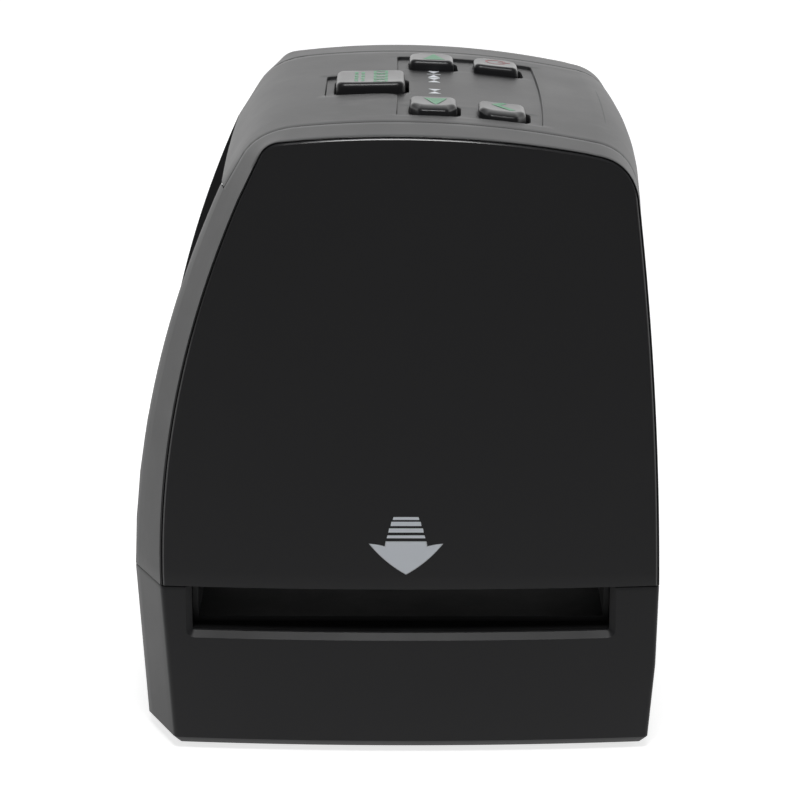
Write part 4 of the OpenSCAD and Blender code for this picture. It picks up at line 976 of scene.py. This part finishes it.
# Front and rear covers keep the solid's layout, with softened edges.
plainCovers = {"edge": 0.15, "edgeAngle": 30,
               "names": {"front_cover": "frontCover", "rear_cover": "rearCover"}}
for node, name in plainCovers["names"].items():
    cover = fromNode(node, name, plainCovers["edge"], plainCovers["edgeAngle"])
    place(cover, shellFinish, stands=[node])


# Window: a smoked panel with a chamfered edge, set in its sloping frame.
window = {"tilt": 17.8, "size": (58.66, 44.4), "thick": 1.5, "corner": 0.8, "chamfer": 0.25,
          "chamferMiddle": (0.06, 0.08),         # how far in and down, since it is slightly rounded
          "backBevel": 0.15, "around": 240}
low, high = (np.array(c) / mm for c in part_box("display_window"))
tilt = math.radians(window["tilt"])
up = np.array([0, math.sin(tilt), math.cos(tilt)])
out = np.array([0, -math.cos(tilt), math.sin(tilt)])
face = (low + high) / 2 + out * window["thick"] / 2 - [0, form["shift"], 0]


# Local x, height up the slope and distance out of it become body coordinates.
def onWindow(x, v, outwards):
    x, v, outwards = np.broadcast_arrays(x, v, outwards)
    return face + x[..., None] * [1, 0, 0] + v[..., None] * up + outwards[..., None] * out


# Rows of loops from steps of grow and level.
def windowRows(steps):
    rows = []
    for grow, level in steps:
        loop = roundedLoop(rectangle(0, 0, *window["size"]), [window["corner"]] * 4, grow, 1.0)
        loop = evenLoop(loop, window["around"])
        rows.append(onWindow(loop[:, 0], loop[:, 1], level))
    return rows


c, t, b = window["chamfer"], window["thick"], window["backBevel"]
m, n = window["chamferMiddle"]
glass = addPiece("displayWindow", *ringSolid(windowRows([(-b, -t), (0, -t + b), (0, -c), (-m, -n), (-c, 0)])))
place(glass, windowGlass, stands=["display_window"])


# Radius and height along the outline of a foot, and of a case screw from its head up.
foot = {"around": 56, "outline": [(4.4, 1.45), (4.4, 0.5), (4.3, 0.25), (4.05, 0.08), (3.7, 0.0),
                                  (2.0, 0.0), (1.6, 0.12), (0.4, 0.15)]}
caseScrew = {"around": 40, "outline": [(0.9, 2.25), (1.55, 2.27), (1.8, 2.4), (1.9, 2.7), (1.9, 3.7),
                                       (1.8, 3.85), (1.2, 3.85), (1.2, 35.6), (0.6, 36.3)],
             # height, half length and half width of the arms of its cross
             "cross": [(2.0, 1.15, 0.32), (2.3, 1.1, 0.3), (3.2, 0.45, 0.16)]}


# Rings of an outline turned about an upright axis.
def turned(piece, x=0, y=0):
    return ringSolid([cylinder(x, y, r, z, z, piece["around"])[0] for r, z in piece["outline"]])


feet = addPiece("rubberFeet", *joinSolids([turned(foot, x, y) for x, y in base["feet"]]))
place(feet, rubberFinish, stands=["rubber_feet"])


# Points turned by an angle about the upright axis.
def spin(points, angle):
    x, y = points[:, 0], points[:, 1]
    c, s = math.cos(angle), math.sin(angle)
    return np.column_stack([x * c - y * s, x * s + y * c, points[:, 2]])


# A screw with two crossed arms cut into its head, as points in millimetres and faces.
def makeScrew():
    screw = addPiece("screw", *turned(caseScrew))
    arms = []
    for angle in (0, math.pi / 2):
        rows = [spin(np.column_stack([rectangle(0, 0, 2 * long, 2 * wide), np.full(4, z)]), angle)
                for z, long, wide in caseScrew["cross"]]
        arms.append(addPiece("arm", *ringSolid(rows)))
    carve(screw, arms)
    points = np.zeros(len(screw.data.vertices) * 3)
    screw.data.vertices.foreach_get("co", points)
    faces = [list(p.vertices) for p in screw.data.polygons]
    bpy.data.objects.remove(screw)
    return points.reshape(-1, 3) / mm - [0, form["shift"], 0], faces


# Each screw stands turned by an angle of its own, from its place.
points, faces = makeScrew()
screws = [(spin(points, math.radians(x * 7 + y * 13)) + [x, y, 0], faces) for x, y in base["screws"]]
place(addPiece("caseScrews", *joinSolids(screws)), metalFinish, stands=["case_screws"])
print("window, feet and screws made")

# Printed signs: thin raised films that follow the surface below them.
signs = {"lift": 0.02, "sink": 0.08, "step": 0.9, "clear": 0.25}


# A flat outline, with holes, becomes a film between two heights over the surface that lift gives.
def makeSign(outline, lift, holes=()):
    outline = np.asarray(outline, float)
    low, high = outline.min(0), outline.max(0)
    xs, ys = (np.arange(a, b, signs["step"]) for a, b in zip(low, high))
    lattice = np.stack(np.meshgrid(xs, ys), -1).reshape(-1, 2)
    flat, faces = tileRegion(outline, [], [np.asarray(h, float) for h in holes], lattice, signs["clear"])
    return closeShell(lift(flat, signs["lift"]), lift(flat, -signs["sink"]), faces)


# A flat sign stands on the side face, its x along y.
def onFace(flat, height):
    return np.column_stack([faceX(flat[:, 0]) + height, flat[:, 0], flat[:, 1]])


# A flat sign lies on a key's dished top.
def onKey(key):
    return lambda flat, height: np.column_stack([flat, keyTop(key, flat[:, 0], flat[:, 1]) + height])


# An edge from a to b that bows out to its right by a share of its length, a parabola.
def curvedEdge(a, b, bulge, n=10):
    a, b = np.array(a, float), np.array(b, float)
    t = np.linspace(0, 1, n + 1)[:-1, None]
    side = np.array([b[1] - a[1], a[0] - b[0]])
    return a + (b - a) * t + side * bulge * 4 * t * (1 - t)


arrow = {"edge": 0.16, "tip": 6.0, "tipZ": 36.15, "apexZ": 30.9, "neck": 3.3, "headTop": 36.57,
         "notch": 3.45, "notchZ": 35.72,
         # how far its corners move as it grows, and how far its edges bow
         "apexGrow": 1.2, "tipGrow": (1.6, 0.3), "edgeBow": 0.05, "barbBow": 0.03,
         # lower edge, upper edge and half width of each bar
         "bars": [(37.1, 37.59, 3.12), (38.07, 38.78, 2.86), (39.18, 39.9, 2.5), (40.22, 40.7, 2.15)]}


# The feed arrow's head: two curved edges to the tips, straight barbs and a neck.
def arrowOutline(grow):
    a = arrow
    apex = (0, a["apexZ"] - a["apexGrow"] * grow)
    tip = (a["tip"] + a["tipGrow"][0] * grow, a["tipZ"] + a["tipGrow"][1] * grow)
    notch = (a["notch"] + grow, a["notchZ"] + grow)
    neck = (a["neck"] + grow, a["headTop"] + grow)
    right = np.vstack([curvedEdge(apex, tip, a["edgeBow"]), curvedEdge(tip, notch, a["barbBow"], 5),
                       [notch, neck]])
    return np.vstack([right, right[1:][::-1] * [-1, 1]])


# A bar above the arrow, a little narrower at its top.
def barOutline(z0, z1, half, taper=0.12):
    return [(-half, z0), (half, z0), (half - taper, z1), (-half + taper, z1)]


inside = arrowOutline(-arrow["edge"])
fill = [makeSign(inside, onFace)] + [makeSign(barOutline(*bar), onFace) for bar in arrow["bars"]]
edge = [makeSign(arrowOutline(0), onFace, [inside])]
place(addPiece("feedArrow", *joinSolids(fill)), printPale)
place(addPiece("feedArrowEdge", *joinSolids(edge)), printWhite)


# A bar of a given width between two points.
def stroke(a, b, wide):
    a, b = np.array(a, float), np.array(b, float)
    side = np.array([a[1] - b[1], b[0] - a[0]]) / np.linalg.norm(b - a) * wide / 2
    return np.array([a - side, b - side, b + side, a + side])


# A ring, or part of one, between two angles in degrees.
def arcBand(centre, radius, wide, start, end, n=28):
    a = np.radians(np.linspace(start, end, n))
    ring = np.stack([np.cos(a), np.sin(a)], 1)
    return np.array(centre) + np.vstack([ring * (radius + wide / 2), ring[::-1] * (radius - wide / 2)])


# An upright frame: a rectangle with a smaller one as its hole.
def frameOutline(cx, cy, w, h, wide):
    return rectangle(cx, cy, w, h), [rectangle(cx, cy, w - 2 * wide, h - 2 * wide)]


# Drawings about their own middle: a tick, and triangles that point at each other.
tick = [(-2.0, 0.1), (-1.55, 0.55), (-0.7, -0.25), (1.45, 1.35), (1.9, 0.8), (-0.7, -1.2)]
wideMark = [[(-2.6, -0.85), (-0.6, 0.0), (-2.6, 0.85)], [(2.6, 0.85), (0.6, 0.0), (2.6, -0.85)],
            rectangle(0, 0, 0.26, 1.9)]
narrowMark = [[(-1.7, -0.85), (-0.3, 0.0), (-1.7, 0.85)], [(1.7, 0.85), (0.3, 0.0), (1.7, -0.85)]]


# Outlines scaled and moved.
def moved(outlines, x, y, scale=1.0):
    return [np.array(o, float) * scale + [x, y] for o in outlines]


# Each key's sign as outlines with their holes: a row of frames over two rows of bars for the scan key,
# triangles, a tick, and a ring with a bar.
keySigns = {
    "left_arrow_button": [([(-18.4, 2.9), (-18.4, 6.7), (-24.0, 4.8)], [])],
    "right_arrow_button": [([(18.4, 6.7), (18.4, 2.9), (24.0, 4.8)], [])],
    "scan_button": [frameOutline(x, -4.3, 2.3, 2.4, 0.48) for x in (-4.0, -1.35, 1.3, 3.95)]
    + [(rectangle(x, y, 1.7, 0.6), []) for y in (-7.3, -8.4) for x in (-3.5, -1.15, 1.2, 3.55)],
    "ok_button": [(moved([tick], 20.3, 15.7, 1.5)[0], [])],
    "power_button": [(arcBand((-21.6, 15.7), 1.7, 0.4, 115, 425), []),
                     (stroke((-21.6, 16.0), (-21.6, 18.2), 0.4), [])],
}
for name, outlines in keySigns.items():
    solids = [makeSign(outline, onKey(keys[name]), holes) for outline, holes in outlines]
    piece = addPiece(pieceName(name, "Sign"), *joinSolids(solids))
    place(piece, printRed if name == "power_button" else printGreen, keys[name]["body"])


# A flat sign lies on the sunk panel.
def onPanel(flat, height):
    return topSkin(flat[:, 0], flat[:, 1], panel["depth"] - height)


panelSigns = {"y": 4.35, "scale": 1.2, "row": [(-12.6, wideMark), (-6.9, narrowMark), (3.6, narrowMark)]}
panelMarks = [makeSign(outline, onPanel) for x, marks in panelSigns["row"]
              for outline in moved(marks, x, panelSigns["y"], panelSigns["scale"])]
place(addPiece("panelMarks", *joinSolids(panelMarks)), printWhite)
print("signs made")

# What stays from the frame gets its finish.
nodeFinishes = {
    innerBlackAndShade: ["lower_film_guide", "upper_film_guide", "video_socket", "switch_bodies", "lens_mount"],
    deadBlack: ["lens_hood", "lens_barrel"],
    whiteFinish: ["light_box", "ribbon_sockets"],
    opalFinish: ["diffuser"],
    boardFinish: ["key_board", "lamp_board", "sensor_board", "port_board", "main_board"],
    chipFinish: ["main_chips", "image_sensor"],
    metalFinish: ["detent_plunger", "detent_spring", "lcd_bracket", "lcd_screws", "board_screws",
                  "usb_socket", "card_socket"],
    ribbonFinish: ["lamp_ribbon", "sensor_ribbon", "display_ribbon", "key_ribbon"],
    ledFinish: ["lamp_leds"],
    displayFinish: ["lcd_module"],
    lensGlass: ["front_lens", "rear_lens"],
    keyFinish: ["scan_plunger", "left_arrow_plunger", "right_arrow_plunger", "power_plunger", "ok_plunger"],
}
for material, names in nodeFinishes.items():
    for name in names:
        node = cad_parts[name]
        node.data.materials.clear()
        node.data.materials.append(material)

# Camera, floor and lamps.
camera = {"lens": 147.1, "place": (0.5459, 0.0, 0.20266), "down": 15.8, "aside": 0.111}
lens = bpy.data.cameras.new("camera")
lens.lens = camera["lens"]
lens.sensor_width = 36
lens.clip_start = 0.01
eye = addObject("camera", lens)
eye.location = camera["place"]
eye.location.y += form["shift"] * mm
eye.rotation_euler = (math.radians(90 - camera["down"]), 0, math.radians(90 + camera["aside"]))
bpy.context.scene.camera = eye

floorLook = {"size": 3.0, "grey": 0.5, "rough": 0.9,
             "white": 0.74,                      # glow that makes it white to the camera
             # its glow in reflections, over x in metres
             "mirrored": {"From Min": -0.06, "From Max": 0.26, "To Min": 1.0, "To Max": 0.0}}


# The light path node, and 1 for rays that come from the camera, straight or through the window.
def cameraRays(tree):
    path = addNode(tree, "ShaderNodeLightPath")
    seen = addNode(tree, "ShaderNodeMath", {0: path.outputs["Is Camera Ray"],
                                            1: path.outputs["Is Transmission Ray"]}, operation="MAXIMUM")
    return path, seen.outputs[0]


# A plain floor: white to the camera, and brighter in reflections behind the object than in front.
def makeFloor():
    mesh = bpy.data.meshes.new("floor")
    size = floorLook["size"]
    corners = [(x, y, 0) for x, y in rectangle(0, 0, 2 * size, 2 * size)]
    mesh.from_pydata(corners, [], [(0, 1, 2, 3)])
    floor = addObject("floor", mesh)
    material = bpy.data.materials.new("floor")
    material.use_nodes = True
    tree = material.node_tree
    shader = tree.nodes["Principled BSDF"]
    grey = floorLook["grey"]
    shader.inputs["Base Color"].default_value = (grey, grey, grey, 1)
    shader.inputs["Roughness"].default_value = floorLook["rough"]
    shader.inputs["Emission Color"].default_value = (1, 1, 1, 1)
    path, seen = cameraRays(tree)
    # What the glossy parts mirror fades on the side where the room is dim.
    where = addNode(tree, "ShaderNodeTexCoord").outputs["Object"]
    across = addNode(tree, "ShaderNodeSeparateXYZ", {"Vector": where}).outputs["X"]
    fade = addNode(tree, "ShaderNodeMapRange", {"Value": across, **floorLook["mirrored"]},
                   interpolation_type="SMOOTHSTEP")
    mirrored = addNode(tree, "ShaderNodeMath", {0: path.outputs["Is Glossy Ray"], 1: fade.outputs[0]},
                       operation="MULTIPLY")
    glow = addNode(tree, "ShaderNodeMath", {0: seen, 1: floorLook["white"], 2: mirrored.outputs[0]},
                   operation="MULTIPLY_ADD")
    tree.links.new(glow.outputs[0], shader.inputs["Emission Strength"])
    mesh.materials.append(material)


makeFloor()
lamps = [
    {"name": "topLight", "at": (0.36, 0.0, 1.0), "aim": (0, 0, 0.08), "size": 0.3, "power": 5.5},
    {"name": "leftPanel", "at": (-0.5, -1.1, 0.3), "aim": (0, 0, 0.06), "size": 0.7, "power": 1.5},
    {"name": "rightPanel", "at": (-0.5, 1.1, 0.3), "aim": (0, 0, 0.06), "size": 0.7, "power": 1.5},
]
for lamp in lamps:
    light = bpy.data.lights.new(lamp["name"], "AREA")
    light.shape = "SQUARE"
    light.size = lamp["size"]
    light.energy = lamp["power"]
    holder = addObject(lamp["name"], light)
    holder.location = lamp["at"]
    holder.visible_camera = False
    aim = np.array(lamp["aim"]) - np.array(lamp["at"])
    flat = math.hypot(aim[0], aim[1])
    holder.rotation_euler = (math.atan2(flat, -aim[2]), 0, math.atan2(-aim[0], aim[1]))

# The room is bright behind the object and dim on the camera's side, and white to the camera itself. Its
# light over the x of each direction:
room = {"From Min": -0.92, "From Max": -0.3, "To Min": 1.65, "To Max": 0.14}
world = bpy.data.worlds.new("studio")
bpy.context.scene.world = world
world.use_nodes = True
tree = world.node_tree
tree.nodes.clear()
direction = addNode(tree, "ShaderNodeTexCoord").outputs["Generated"]
across = addNode(tree, "ShaderNodeSeparateXYZ", {"Vector": direction}).outputs["X"]
dim = addNode(tree, "ShaderNodeMapRange", {"Value": across, **room}, interpolation_type="SMOOTHSTEP")
dimLight = addNode(tree, "ShaderNodeBackground", {"Color": (1, 1, 1, 1), "Strength": dim.outputs[0]})
whiteLight = addNode(tree, "ShaderNodeBackground", {"Color": (1, 1, 1, 1), "Strength": 1.0})
mixed = addNode(tree, "ShaderNodeMixShader", {0: cameraRays(tree)[1], 1: dimLight.outputs[0],
                                              2: whiteLight.outputs[0]})
addNode(tree, "ShaderNodeOutputWorld", {"Surface": mixed.outputs[0]})
bpy.context.scene.view_settings.view_transform = "Standard"


print("scene made")
